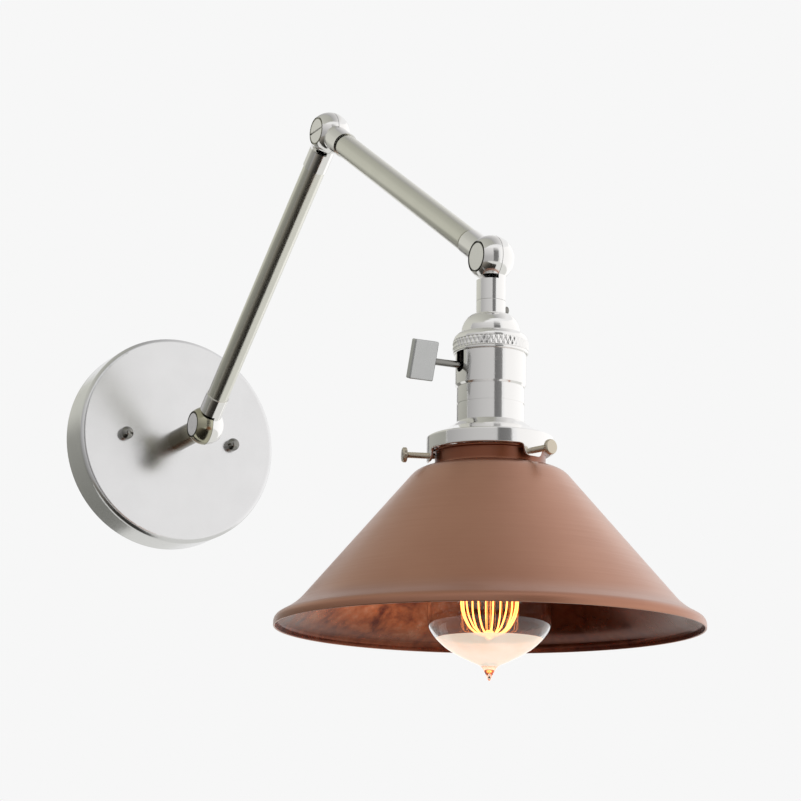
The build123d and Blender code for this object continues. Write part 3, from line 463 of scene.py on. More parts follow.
def matt_copper():
    """Matt spun copper: two tones in slow clouds of 30 mm, deeper towards the brim, painted shade at the neck
    under the holder, and faint spinning rings along the axis."""
    # Copper, sanded matt after spinning and lacquered: a soft pink-brown glow with no clear reflection,
    # and a pale sheen of lacquer towards the outline. The rings are about 0.3 mm apart on the real one,
    # and are drawn at 0.9 mm so that they show.
    material, tree = new_material("matt_spun_copper")
    place = add(tree, "ShaderNodeTexCoord").outputs["Object"]
    rings = add(tree, "ShaderNodeMapping", {
        "Vector": place, "Rotation": (math.radians(HEAD_TURN), 0.0, 0.0),
        "Scale": (40 * MM, 40 * MM, 0.9 * MM)}, vector_type="TEXTURE")
    lines = add(tree, "ShaderNodeTexNoise", {"Vector": rings.outputs[0], "Scale": 1.0, "Detail": 2.0})
    slow = add(tree, "ShaderNodeTexNoise", {"Vector": place, "Scale": 1 / (30 * MM), "Detail": 3.0})
    tones = add(tree, "ShaderNodeMix", {
        0: slow.outputs[0], 6: tuple(finishes().copper_shade), 7: tuple(finishes().copper)},
        data_type="RGBA")
    # Share, by height, of painted shade at the neck under the holder and of a deeper tone towards the brim.
    neck_shade_brim_tone = add(tree, "ShaderNodeValToRGB", {"Fac": above_rim(tree, place, SHADE_RIM - SHADE_LIP)})
    ends = neck_shade_brim_tone.color_ramp.elements
    ends[0].position, ends[0].color = 0.06, (0.3, 0.3, 0.3, 1.0)
    ends[1].position, ends[1].color = 0.14, (0.16, 0.16, 0.16, 1.0)
    ends.new(0.55).color = (0.0, 0.0, 0.0, 1.0)
    ends.new(0.88).color = (0.0, 0.0, 0.0, 1.0)
    ends.new(0.94).color = (1.0, 1.0, 1.0, 1.0)
    tones = add(tree, "ShaderNodeMix", {
        0: neck_shade_brim_tone.outputs[0], 6: tones.outputs[2], 7: deeper(finishes().flame, 0.5)}, data_type="RGBA")
    spread = add(tree, "ShaderNodeMapRange", {
        "Value": lines.outputs[0], "From Min": NOISE_LOW, "From Max": NOISE_HIGH,
        "To Min": 0.4, "To Max": 0.52})
    bump = add(tree, "ShaderNodeBump", {"Height": lines.outputs[0], "Strength": 0.08, "Distance": 0.1 * MM})
    shader = add(tree, "ShaderNodeBsdfPrincipled", {
        "Base Color": tones.outputs[2], "Metallic": 1.0, "Roughness": spread.outputs[0],
        "Normal": bump.outputs[0], "Coat Weight": 0.85, "Coat Roughness": 0.3})
    add(tree, "ShaderNodeOutputMaterial", {"Surface": shader.outputs[0]})
    return material


def oxidised_copper():
    """Oxidised copper: patches of 20 mm broken up by specks of 4 mm move from dark oxide to bare copper,
    and the tone deepens along the axis towards the brim, and along X towards one side as painted shade."""
    # Copper heated and left glossy: dark maroon oxide, orange patches and pink streaks. The oxide is no
    # metal, so the filament's light shows on it as a dull red.
    material, tree = new_material("oxidised_copper")
    place = add(tree, "ShaderNodeTexCoord").outputs["Object"]
    patch = add(tree, "ShaderNodeTexNoise", {
        "Vector": place, "Scale": 1 / (20 * MM), "Detail": 5.0, "Roughness": 0.6, "Distortion": 0.8})
    speck = add(tree, "ShaderNodeTexNoise", {"Vector": place, "Scale": 1 / (4 * MM), "Detail": 3.0})
    share = add(tree, "ShaderNodeMix", {0: 0.3, 2: patch.outputs[0], 3: speck.outputs[0]})
    ramp = add(tree, "ShaderNodeValToRGB", {"Fac": share.outputs[0]})
    stops = ramp.color_ramp.elements
    stops[0].position, stops[0].color = 0.36, finishes().oxide
    stops[1].position, stops[1].color = 0.66, linear("#d6906c")
    stops.new(0.52).color = finishes().flame
    spread = add(tree, "ShaderNodeMapRange", {
        "Value": patch.outputs[0], "From Min": 0.3, "From Max": 0.7, "To Min": 0.14, "To Max": 0.3})
    bump = add(tree, "ShaderNodeBump", {"Height": speck.outputs[0], "Strength": 0.08, "Distance": 0.2 * MM})
    # Deeper towards the brim, and darker on the +X side as painted shade.
    brim_tone_side_shade = add(tree, "ShaderNodeMapRange", {
        "Value": above_rim(tree, place), "From Min": 4.0, "From Max": 18.0, "To Min": 0.75, "To Max": 0.0})
    side = add(tree, "ShaderNodeMapRange", {
        "Value": add(tree, "ShaderNodeSeparateXYZ", {0: place}).outputs["X"],
        "From Min": -20 * MM, "From Max": 50 * MM, "To Min": 0.0, "To Max": 0.88})
    brim_tone_side_shade = add(tree, "ShaderNodeMath", {0: brim_tone_side_shade.outputs[0], 1: side.outputs[0]}, operation="MAXIMUM")
    tones = add(tree, "ShaderNodeMix", {
        0: brim_tone_side_shade.outputs[0], 6: ramp.outputs[0], 7: deeper(finishes().oxide, 0.4)}, data_type="RGBA")
    shader = add(tree, "ShaderNodeBsdfPrincipled", {
        "Base Color": tones.outputs[2], "Metallic": 0.6, "Roughness": spread.outputs[0],
        "Normal": bump.outputs[0]})
    add(tree, "ShaderNodeOutputMaterial", {"Surface": shader.outputs[0]})
    return material


def clear_glass():
    """Clear glass with a slow swell of 14 mm in its surface, left open to the filament's light."""
    # Blown soda glass: colourless, sharp reflections, slightly uneven where it was blown.
    material, tree = new_material("blown_glass")
    place = add(tree, "ShaderNodeTexCoord").outputs["Object"]
    swell = add(tree, "ShaderNodeTexNoise", {"Vector": place, "Scale": 1 / (14 * MM), "Detail": 1.0})
    bump = add(tree, "ShaderNodeBump", {"Height": swell.outputs[0], "Strength": 0.06, "Distance": 0.3 * MM})
    shader = add(tree, "ShaderNodeBsdfPrincipled", {
        "Base Color": (1.0, 1.0, 1.0, 1.0), "Roughness": 0.0, "IOR": 1.5, "Transmission Weight": 1.0,
        "Specular IOR Level": 0.3, "Normal": bump.outputs[0]})
    open_way = add(tree, "ShaderNodeBsdfTransparent")
    path = add(tree, "ShaderNodeLightPath")
    both = add(tree, "ShaderNodeMixShader", {
        0: path.outputs["Is Shadow Ray"], 1: shader.outputs[0], 2: open_way.outputs[0]})
    add(tree, "ShaderNodeOutputMaterial", {"Surface": both.outputs[0]})
    return material


def painted_glow_glass():
    """Cream glass with a painted glow, whose glow and tone vary a little over 9 mm."""
    # Band of the bulb's bowl: cream glass whose own glow is a painted reflection of bright light, a haze that
    # hides what is behind.
    material, tree = new_material("bowl_glass_painted_glow")
    place = add(tree, "ShaderNodeTexCoord").outputs["Object"]
    glow_noise = add(tree, "ShaderNodeTexNoise", {"Vector": place, "Scale": 1 / (9 * MM), "Detail": 2.0})
    tones = add(tree, "ShaderNodeMix", {
        0: glow_noise.outputs[0], 6: linear("#f3dfc8"), 7: linear("#fff3e6")}, data_type="RGBA")
    shader = add(tree, "ShaderNodeBsdfPrincipled", {
        "Base Color": tones.outputs[2], "Roughness": 0.1, "IOR": 1.5, "Transmission Weight": 0.2,
        "Emission Color": tones.outputs[2], "Emission Strength": 0.42})
    add(tree, "ShaderNodeOutputMaterial", {"Surface": shader.outputs[0]})
    return material


def glowing_carbon():
    """Carbon strand whose glow varies a little every 6 mm of its length."""
    # Carbon filament at dim heat: golden light, a little uneven along each strand.
    material, tree = new_material("glowing_carbon")
    place = add(tree, "ShaderNodeTexCoord").outputs["Object"]
    heat = add(tree, "ShaderNodeTexNoise", {"Vector": place, "Scale": 1 / (6 * MM), "Detail": 1.0})
    tone = finishes().glow
    light = add(tree, "ShaderNodeMix", {
        0: heat.outputs[0], 6: deeper(tone, 0.75), 7: tuple(tone)}, data_type="RGBA")
    shader = add(tree, "ShaderNodeBsdfPrincipled", {
        "Base Color": linear("#3a2a1c"), "Roughness": 0.6, "Emission Color": light.outputs[2],
        "Emission Strength": bpy.context.scene.lamp_studio.glow})
    add(tree, "ShaderNodeOutputMaterial", {"Surface": shader.outputs[0]})
    return material


def dress(material, *names):
    """Give carried-over solids their material."""
    for name in names:
        node = frame["nodes"][name]
        node.data.materials.clear()
        node.data.materials.append(material)


def rounded(corners, steps=CORNER_STEPS):
    """Profile through corners of (across, along, cut). Each corner is a quadratic curve between the
    points at its cut's distance on the two sides, so straight runs stay straight."""
    points = np.array(corners, float)
    spot = points[:, :2]
    into = np.roll(spot, 1, 0) - spot
    out = np.roll(spot, -1, 0) - spot
    cut = points[:, 2:]
    start = spot + into / np.maximum(np.linalg.norm(into, axis=1, keepdims=True), 1e-9) * cut
    end = spot + out / np.maximum(np.linalg.norm(out, axis=1, keepdims=True), 1e-9) * cut
    t = np.linspace(0, 1, steps)[None, :, None]
    curve = (1 - t) ** 2 * start[:, None] + 2 * t * (1 - t) * spot[:, None] + t ** 2 * end[:, None]
    return curve.reshape(-1, 2)


def through(points, steps=8):
    """Smooth profile through points: a Catmull-Rom cubic between each two neighbours."""
    spot = np.array(points, float)
    padded = np.vstack((2 * spot[0] - spot[1], spot, 2 * spot[-1] - spot[-2]))
    a, b, c, d = (padded[i:len(padded) - 3 + i, None] for i in range(4))
    t = np.linspace(0, 1, steps, endpoint=False)[None, :, None]
    curve = 0.5 * (2 * b + (c - a) * t + (2 * a - 5 * b + 4 * c - d) * t ** 2
                   + (3 * b - a - 3 * c + d) * t ** 3)
    return np.vstack((curve.reshape(-1, 2), spot[-1:]))


def quarter(start, end, first, count):
    """Corners with no cut on a quarter of an ellipse: from the start, where it runs across, to the end, where
    it runs along. The first angle leaves out its beginning."""
    angle = np.linspace(first, np.pi / 2, count)
    across, along = np.subtract(end, start)
    return np.stack((
        start[0] + across * np.sin(angle), start[1] + along * (1 - np.cos(angle)), np.zeros(count)), 1)


def dense(profile, step):
    """Points added along a profile so that no run is longer than its step, and none is lost. The step is one
    number, or one for each run."""
    run = np.linalg.norm(np.diff(profile, axis=0), axis=1)
    count = np.maximum(np.ceil(run / step).astype(int), 1)
    index = np.repeat(np.arange(len(run)), count)
    share = (np.arange(count.sum()) - np.repeat(np.cumsum(count) - count, count)) / np.repeat(count, count)
    spread = profile[index] + (profile[index + 1] - profile[index]) * share[:, None]
    return np.vstack((spread, profile[-1:]))


def walled(profile, wall):
    """A profile without the points at which it stands still, and the same points moved inwards by the wall's
    thickness, square to the profile."""
    tangent = np.gradient(profile, axis=0)
    pace = np.linalg.norm(tangent, axis=1)
    moving = pace > 1e-6
    outer, tangent = profile[moving], tangent[moving] / pace[moving, None]
    return outer, outer + wall * np.stack((-tangent[:, 1], tangent[:, 0]), 1)


def around(radius, drop, columns, origin=HEAD_PIVOT, axis=HEAD_DOWN):
    """Surface of revolution: a point at each radius and drop, carried round the axis. Both may change
    with the angle, which gives knurls, threads and ears."""
    angle = np.linspace(0, 2 * np.pi, columns, endpoint=False)
    across = SIDE - axis * (SIDE @ axis)
    across = across / np.linalg.norm(across)
    ring = np.cos(angle)[:, None] * across + np.sin(angle)[:, None] * np.cross(across, axis)
    radius, drop = np.broadcast_arrays(radius, drop)
    shape = np.broadcast_to(radius, (radius.shape[0], columns))
    level = np.broadcast_to(drop, (drop.shape[0], columns))
    return origin + level[..., None] * axis + shape[..., None] * ring[None]


def wire(path, lead, width, sides=10):
    """Round wire: a circle carried along a path, square to it, with the lead direction as a guide. Its
    radius falls to nothing at both ends, which closes them."""
    tangent = np.gradient(path, axis=0)
    tangent = tangent / np.linalg.norm(tangent, axis=1, keepdims=True)
    first = np.cross(tangent, lead)
    first = first / np.linalg.norm(first, axis=1, keepdims=True)
    second = np.cross(first, tangent)
    angle = np.linspace(0, 2 * np.pi, sides, endpoint=False)
    circle = np.cos(angle)[:, None] * first[:, None] + np.sin(angle)[:, None] * second[:, None]
    body = path[:, None] + width / 2 * circle
    cap = np.repeat(path[[0, -1]][:, None], sides, axis=1)
    return np.concatenate((cap[:1], body, cap[1:]))


def grid_faces(rows, columns, closed):
    """Four-sided faces over a grid that wraps along its columns, and along its rows if closed."""
    down = np.arange(rows if closed else rows - 1)
    row, column = (part.ravel() for part in np.meshgrid(down, np.arange(columns), indexing="ij"))
    next_row, next_column = (row + 1) % rows, (column + 1) % columns
    faces = np.stack((
        row * columns + column, row * columns + next_column,
        next_row * columns + next_column, next_row * columns + column), 1)
    return faces, row


def outward_faces(points, faces):
    """The faces, turned over if the volume they enclose comes out negative."""
    a, b, c, d = (points[faces[:, i]] for i in range(4))
    volume = np.einsum("ij,ij->i", a, np.cross(b, c)) + np.einsum("ij,ij->i", a, np.cross(c, d))
    return faces if volume.sum() > 0 else faces[:, ::-1]


def piece(name, grids, body, materials, nodes=(), closed=False, bands=None, crease=30.0):
    """One object from grids of points in millimetres. Doubles merge, so poles and seams are closed,
    and bands gives the rows between which the second material shows."""
    points, faces, rows, start = [], [], [], 0
    for grid in grids:
        flat = grid.reshape(-1, 3)
        cells, row = grid_faces(*grid.shape[:2], closed)
        points.append(flat)
        faces.append(outward_faces(flat - flat.mean(0), cells) + start)
        rows.append(row)
        start += len(flat)
    points, faces, rows = np.vstack(points) * MM, np.vstack(faces), np.concatenate(rows)
    mesh = bpy.data.meshes.new(name)
    mesh.vertices.add(len(points))
    mesh.vertices.foreach_set("co", points.ravel())
    mesh.loops.add(faces.size)
    mesh.loops.foreach_set("vertex_index", faces.ravel())
    mesh.polygons.add(len(faces))
    mesh.polygons.foreach_set("loop_start", np.arange(0, faces.size, 4))
    if bands:
        second = (rows >= bands[0]) & (rows < bands[1])
        mesh.polygons.foreach_set("material_index", second.astype(np.int32))
    mesh.update(calc_edges=True)
    for material in materials:
        mesh.materials.append(material)
    shape = bmesh.new()
    shape.from_mesh(mesh)
    bmesh.ops.remove_doubles(shape, verts=shape.verts, dist=MERGE * MM)
    bmesh.ops.dissolve_degenerate(shape, dist=SLIVER * MM, edges=shape.edges)
    shape.to_mesh(mesh)
    shape.free()
    mesh.polygons.foreach_set("use_smooth", np.ones(len(mesh.polygons), bool))
    mesh.set_sharp_from_angle(angle=math.radians(crease))
    made = bpy.data.objects.new(name, mesh)
    bpy.context.scene.collection.objects.link(made)
    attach(made, body)
    if nodes:
        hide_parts(*nodes)
    return made


def wave(turns):
    """Triangle wave between 0 and 1, once for each turn."""
    return np.abs((turns % 1.0) * 2 - 1)


class LAMP_OT_wall_plate(bpy.types.Operator):
    """Dress the wall plate, its nuts and the strap behind it"""
    bl_idname = "lamp.wall_plate"
    bl_label = "Wall plate"

    def execute(self, context):
        dress(plate_nickel(), "canopy")
        dress(dark_nickel(), "cap_nuts")
        dress(zinc_plate(), "crossbar", "canopy_studs", "ground_screw", "base_nipple", "base_lock_washer",
              "base_lock_nut")
        return {"FINISHED"}


class LAMP_OT_arms(bpy.types.Operator):
    """Make the two arm tubes, with their grain along each tube"""
    bl_idname = "lamp.arms"
    bl_label = "Arms"

    def execute(self, context):
        sizes = context.scene.lamp_sizes
        self.tube(sizes, "lower", "base_fold", "elbow_fold", 0.0)
        self.tube(sizes, "upper", "elbow_fold", "head_tilt", sizes.groove_depth / MM)
        return {"FINISHED"}

    def tube(self, sizes, arm, start, end, depth):
        """The wall's profile, with a groove of the given depth at each collar, carried round the line
        between two joints. The first groove is painted black as shade, and no depth leaves the tube plain."""
        first, last = (np.array(JOINTS[joint]["pos_m"]) / MM for joint in (start, end))
        span = np.linalg.norm(last - first)
        neck, bore = TUBE_RADIUS - depth, TUBE_RADIUS - sizes.tube_wall / MM
        far_side = COLLAR_MOUTH + sizes.groove_width / MM
        half = np.array([
            (bore, TUBE_INSET, 0.2), (TUBE_RADIUS, TUBE_INSET, 0.2), (TUBE_RADIUS, COLLAR_MOUTH, 0.05),
            (neck, COLLAR_MOUTH, 0.1), (neck, far_side, 0.1), (TUBE_RADIUS, far_side, 0.15)])
        other = half[::-1] * (1, -1, 1) + (0, span, 0)
        profile = rounded(np.vstack((half, other)))
        grid = around(profile[:, :1], profile[:, 1:], TUBE_SIDES, first, (last - first) / span)
        materials = [satin_nickel(f"satin_nickel_{arm}_arm", arm_turn(start, end))]
        bands = None
        if depth:
            # The first groove takes painted shade.
            materials.append(painted_groove_shade())
            bands = (3 * CORNER_STEPS, 5 * CORNER_STEPS - 1)
        piece(f"drawn_{arm}_tube", [grid], f"{arm}_arm", materials, [f"{arm}_tube"],
              closed=True, bands=bands)


class LAMP_OT_knuckles(bpy.types.Operator):
    """Dress the three ball knuckles with their screws, nuts and washers"""
    bl_idname = "lamp.knuckles"
    bl_label = "Knuckles"

    def execute(self, context):
        dress(stem_nickel(), "base_ball_stem_half")
        dress(knuckle_nickel(), "base_ball_arm_half", "elbow_ball_lower_half", "elbow_ball_upper_half",
              "head_ball_arm_half", "head_ball_socket_half")
        # Each knuckle's rim tone is painted shade round its discs.
        for knuckle, (joint, rim) in KNUCKLES.items():
            dress(pivot_nickel(knuckle, joint, rim), f"{knuckle}_pivot_screw", f"{knuckle}_pivot_nut")
            dress(zinc_plate(), f"{knuckle}_wave_washer")
        return {"FINISHED"}


class LAMP_OT_socket(bpy.types.Operator):
    """Make the socket's cap with its diamond knurl, and dress the shell"""
    bl_idname = "lamp.socket"
    bl_label = "Socket"

    def execute(self, context):
        """The cap's profile, carried round the head's axis. On the band, the lower of two triangle waves that
        climb in opposite directions is added to the radius, which gives diamonds."""
        sizes = context.scene.lamp_sizes
        columns = KNURL_SIDES * sizes.knurl_count
        dome = quarter((CAP_NECK, CAP_DOME), (CAP_WAIST, CAP_SHOULDER), 0.12, 12)
        shoulder = quarter((CAP_WAIST, CAP_SHOULDER), (CAP_RADIUS, CAP_KNURL), 0.15, 9)
        profile = rounded([
            (CAP_HOLE, CAP_TOP, 0.0), (CAP_NECK, CAP_TOP, 0.35), (CAP_NECK, CAP_DOME - 0.1, 0.1),
            (CAP_NECK - 0.35, CAP_DOME, 0.05), *dome, (CAP_WAIST - 0.25, CAP_SHOULDER + 0.1, 0.05), *shoulder,
            (CAP_RADIUS, CAP_KNURL, 0.0), (CAP_RADIUS, CAP_BEAD, 0.0),
            (CAP_RADIUS - 0.35, CAP_BEAD + 0.15, 0.05), (CAP_BEAD_RADIUS, CAP_BEAD + 0.4, 0.3),
            (CAP_BEAD_RADIUS, CAP_BOTTOM, 0.7), (CAP_BORE, CAP_BOTTOM, 0.2), (CAP_BORE, CAP_KNURL, 0.5),
            (CAP_WAIST - CAP_WALL, CAP_SHOULDER, 0.5), (CAP_NECK - CAP_WALL, CAP_DOME + CAP_WALL, 0.5),
            (CAP_HOLE, CAP_DOME + CAP_WALL, 0.0)])
        profile = np.vstack((profile, profile[:1]))
        band = self.on_band((profile[:-1] + profile[1:]) / 2)
        profile = dense(profile, np.where(band, KNURL_STEP, CAP_STEP))[:-1]
        radius, drop = profile[:, :1], profile[:, 1:]
        turn = np.linspace(0, 1, columns, endpoint=False)[None] * sizes.knurl_count
        climb = (drop - CAP_KNURL) / (CAP_BEAD - CAP_KNURL)
        diamonds = np.minimum(wave(turn + climb), wave(turn - climb + 0.5))
        lift = diamonds * KNURL_GAIN * sizes.knurl_depth / MM - KNURL_CUT
        radius = radius + self.on_band(profile)[:, None] * lift
        piece("knurled_socket_cap", [around(radius, drop, columns)], "lamp_head",
              [bright_nickel()], ["socket_cap"], closed=True)
        dress(bright_nickel(), "socket_shell")
        dress(dark_nickel(), "cap_set_screw")
        return {"FINISHED"}

    def on_band(self, points):
        """True for each point of the profile that lies on the knurled band."""
        radius, drop = points.T
        return (radius > CAP_RADIUS - ON_FACE) & (drop > CAP_KNURL) & (drop < CAP_BEAD)


class LAMP_OT_switch_key(bpy.types.Operator):
    """Dress the switch's shaft and paddle"""
    bl_idname = "lamp.switch_key"
    bl_label = "Switch key"

    def execute(self, context):
        dress(dark_nickel(), "key_shaft")
        # Satin nickel on the stamped paddle: greyer than the plate, from a coarser grit.
        paddle = worked_metal(
            "satin_nickel_paddle", linear("#c0c1c1"), (0.26, 0.3), (4.0, 4.0, 4.0), 0.0, 0.004)
        dress(paddle, "key_paddle")
        return {"FINISHED"}


class LAMP_OT_shade_holder(bpy.types.Operator):
    """Make the pressed holder with its three ears and the three thumbscrews"""
    bl_idname = "lamp.shade_holder"
    bl_label = "Shade holder"

    def execute(self, context):
        """The holder's profile, carried round the head's axis. Near each ear's angle, the skirt's edge drops
        by the ear's outline."""
        bore = HOLDER_RADIUS - HOLDER_WALL
        outside = dense(rounded([
            (HOLDER_HOLE, SHELL_BOTTOM, 0.0), (HOLDER_COLLAR, SHELL_BOTTOM, 0.0),
            (HOLDER_STEP, HOLDER_SHOULDER, 0.6), (HOLDER_RADIUS, SKIRT_TOP, 0.6),
            (HOLDER_RADIUS, SKIRT_BEND, 0.0)]), HOLDER_SPACING)
        inside = dense(rounded([
            (bore, SKIRT_BEND, 0.0), (bore, SKIRT_TOP + HOLDER_WALL, 0.8),
            (HOLDER_STEP, HOLDER_SHOULDER + HOLDER_WALL, 1.2), (HOLDER_HOLE, SHELL_BOTTOM + HOLDER_WALL, 0.0),
        ]), HOLDER_SPACING)
        angle = np.linspace(0, 360, HOLDER_SIDES, endpoint=False)
        middle = np.array(list(EAR_ANGLES.values()))[:, None]
        aside = np.radians(np.abs((angle - middle + 180) % 360 - 180).min(0)) * HOLDER_RADIUS
        edge = SKIRT_BOTTOM + EAR_DROP * np.interp(aside, EAR_ASIDE, EAR_SHARE) - HOLDER_LIP
        down = SKIRT_BEND + (edge - SKIRT_BEND) * np.linspace(0, 1, SKIRT_ROWS)[:, None]
        lip = np.linspace(0, np.pi, 9)[:, None]
        lip_radius = HOLDER_RADIUS - HOLDER_WALL / 2 * (1 - np.cos(lip))
        lip_drop = edge + HOLDER_LIP * np.sin(lip)
        wide = np.ones((1, HOLDER_SIDES))
        skirt = np.ones((SKIRT_ROWS, HOLDER_SIDES))
        radius = np.vstack((outside[:, :1] * wide, HOLDER_RADIUS * skirt, lip_radius * wide, bore * skirt,
                            inside[:, :1] * wide))
        drop = np.vstack((outside[:, 1:] * wide, down, lip_drop, down[::-1], inside[:, 1:] * wide))
        piece("pressed_shade_holder", [around(radius, drop, HOLDER_SIDES)], "lamp_head",
              [bright_nickel()], ["shade_holder"], closed=True)
        dress(bright_nickel(), "holder_ring_nut")
        for where, angle in EAR_ANGLES.items():
            self.thumbscrew(context.scene.lamp_sizes, where, math.radians(angle))
        return {"FINISHED"}

    def thumbscrew(self, sizes, where, angle):
        """A shank whose radius follows a triangle wave that climbs once a turn, and a knurled head."""
        axis = SIDE * math.cos(angle) + np.cross(SIDE, HEAD_DOWN) * math.sin(angle)
        shank = dense(rounded([
            (0.0, SCREW_TIP, 0.0), (1.1, SCREW_TIP, 0.2), (SHANK_RADIUS, SCREW_TIP + 0.6, 0.0),
            (SHANK_RADIUS, SCREW_HEAD - 0.6, 0.0), (SHANK_NECK, SCREW_HEAD - 0.4, 0.0),
            (SHANK_NECK, SCREW_HEAD, 0.0)]), 0.12)
        head = dense(rounded([
            (SHANK_NECK, SCREW_HEAD, 0.0), (3.3, SCREW_HEAD, 0.2), (SCREW_RADIUS, SCREW_HEAD + 0.4, 0.0),
            (SCREW_RADIUS, SCREW_END - 0.7, 0.0), (3.2, SCREW_END - 0.1, 0.3), (0.0, SCREW_END, 0.0)]), 0.25)
        turn = np.linspace(0, 1, SCREW_SIDES, endpoint=False)[None]
        thread = wave(shank[:, 1:] * MM / sizes.thread_pitch + turn) * sizes.thread_depth / MM
        knurl = wave(SCREW_KNURLS * turn) * SCREW_KNURL_DEPTH
        radius = np.vstack((shank[:, :1] - (shank[:, :1] > SHANK_RADIUS - ON_FACE) * thread,
                            head[:, :1] - (head[:, :1] > SCREW_RADIUS - ON_FACE) * knurl))
        drop = np.vstack((shank[:, 1:], head[:, 1:]))
        level = HEAD_PIVOT + HEAD_DOWN * THUMBSCREW_LEVEL
        piece(f"knurled_thumbscrew_{where}", [around(radius, drop, SCREW_SIDES, level, axis)],
              f"{where}_thumbscrew", [warm_nickel()], [f"thumbscrew_{where}"])


class LAMP_OT_shade(bpy.types.Operator):
    """Make the spun shade, matt outside and oxidised inside"""
    bl_idname = "lamp.shade"
    bl_label = "Shade"

    def execute(self, context):
        """The outer profile, a half-round rim and the same profile moved in by the wall, carried round the
        head's axis."""
        wall = context.scene.lamp_sizes.shade_wall / MM
        outer, inner = walled(dense(rounded([
            (SHADE_LIP_RADIUS, SHADE_LIP, 0.0), (SHADE_NECK, SHADE_LIP, 0.8), (SHADE_NECK, SHADE_FOOT, 1.2),
            (*SHADE_SHOULDER, 4.6), (*BRIM_BEND, 5.6), (SHADE_RADIUS, BRIM_EDGE, 2.4),
            (SHADE_RADIUS, SHADE_RIM - wall / 2, 0.0)]), SHADE_SPACING), wall)
        turn = np.linspace(0, np.pi, 7)[1:-1]
        rim = np.stack((SHADE_RADIUS - wall / 2 * (1 - np.cos(turn)),
                        SHADE_RIM - wall / 2 * (1 - np.sin(turn))), 1)
        profile = np.vstack((outer, rim, inner[::-1]))
        inside = len(outer) + len(rim) - 1
        piece("spun_shade", [around(profile[:, :1], profile[:, 1:], SHADE_SIDES)], "lamp_head",
              [matt_copper(), oxidised_copper()], ["shade"], closed=True, bands=(inside, len(profile) - 1))
        return {"FINISHED"}


class LAMP_OT_bulb(bpy.types.Operator):
    """Blow the bulb's glass and dress the base and the glass mount"""
    bl_idname = "lamp.bulb"
    bl_label = "Bulb"

    def execute(self, context):
        """A neck that widens by a smooth step, a bowl and a pip, and the same without the pip moved in by the
        wall, carried round the head's axis."""
        wall = context.scene.lamp_sizes.glass_wall / MM
        share = np.linspace(0, 1, TAPER_ROWS)
        rise = 3 * share ** 2 - 2 * share ** 3
        taper = np.stack((GLASS_NECK + (BULB_RADIUS - GLASS_NECK) * rise,
                          TAPER_TOP + (BULB_WIDEST - TAPER_TOP) * share), 1)
        neck = np.vstack(((GLASS_NECK, GLASS_TOP), taper))
        outer = np.vstack((neck, through(BOWL_WALL + BOWL_PIP)[1:] + (0, BULB_WIDEST)))
        skin = np.vstack((neck, through(BOWL_WALL + BOWL_FLOOR)[1:] + (0, BULB_WIDEST)))
        inner = walled(skin, wall)[1]
        inner[-1, 0] = 0.0
        inner[:, 0] = np.maximum(inner[:, 0], 0.0)
        profile = np.vstack((outer[::-1], inner))
        depth = outer[::-1, 1] - BULB_WIDEST
        # Rows of the bowl that take the glass with the painted glow.
        glow_band = np.flatnonzero((depth > GLOW_BAND_TOP) & (depth < GLOW_BAND_FOOT))
        glass = clear_glass()
        piece("blown_bulb", [around(profile[:, :1], profile[:, 1:], BULB_SIDES)], "bulb",
              [glass, painted_glow_glass()], ["bulb_glass"], crease=60.0, bands=(glow_band[0], glow_band[-1]))
        dress(glass, "glass_mount")
        dress(plain_brass(), "bulb_base", "bulb_contact")
        return {"FINISHED"}


class LAMP_OT_filament(bpy.types.Operator):
    """Wind the filament: pairs of strands, looped at the top and turned in to a ring below"""
    bl_idname = "lamp.filament"
    bl_label = "Filament"

    def execute(self, context):
        """Each pair of strands is one path with a circle carried along it: out from the hub on a quarter of
        an ellipse, up with a slight bow, over half an ellipse and back the same way. The hub is a ring."""
        width = context.scene.lamp_sizes.filament_width / MM
        bend_top = HUB_DROP - CAGE_FOOT
        turn = np.linspace(np.pi / 2, 0, 16)
        foot = np.stack((HUB_RADIUS + (CAGE_RADIUS - HUB_RADIUS) * np.cos(turn),
                         bend_top + CAGE_FOOT * np.sin(turn)), 1)
        rise = np.linspace(bend_top, CAGE_TOP, 24)[1:]
        bow = STRAND_BOW * np.sin(np.pi * (rise - CAGE_TOP) / (bend_top - CAGE_TOP))
        strand = np.vstack((foot, np.stack((CAGE_RADIUS + bow, rise), 1)))
        half = np.pi / (2 * STRAND_PAIRS)
        loop = np.linspace(-np.pi / 2, np.pi / 2, 15)[1:-1]
        radius = np.concatenate((strand[:, 0], np.full(len(loop), CAGE_RADIUS), strand[::-1, 0]))
        drop = np.concatenate((strand[:, 1], CAGE_TOP - LOOP_RISE * np.cos(loop), strand[::-1, 1]))
        offset = half * np.concatenate((np.full(len(strand), -1.0), np.sin(loop), np.ones(len(strand))))
        wallward = np.cross(SIDE, HEAD_DOWN)
        wires = []
        for pair in range(STRAND_PAIRS):
            angle = offset - (2 * pair + FIRST_STRAND) * np.pi / STRAND_PAIRS
            out = np.cos(angle)[:, None] * SIDE + np.sin(angle)[:, None] * wallward
            path = HEAD_PIVOT + radius[:, None] * out + drop[:, None] * HEAD_DOWN
            wires.append(wire(path, out + HEAD_DOWN, width))
        ring = np.linspace(0, 2 * np.pi, 13)[:, None]
        hub = around(HUB_RADIUS + HUB_WIRE * np.cos(ring), HUB_DROP + HUB_WIRE * np.sin(ring), HUB_SIDES)
        piece("wound_filament", wires + [hub], "bulb", [glowing_carbon()], ["filament"],
              crease=60.0)
        dress(zinc_plate(), "support_wires")
        return {"FINISHED"}


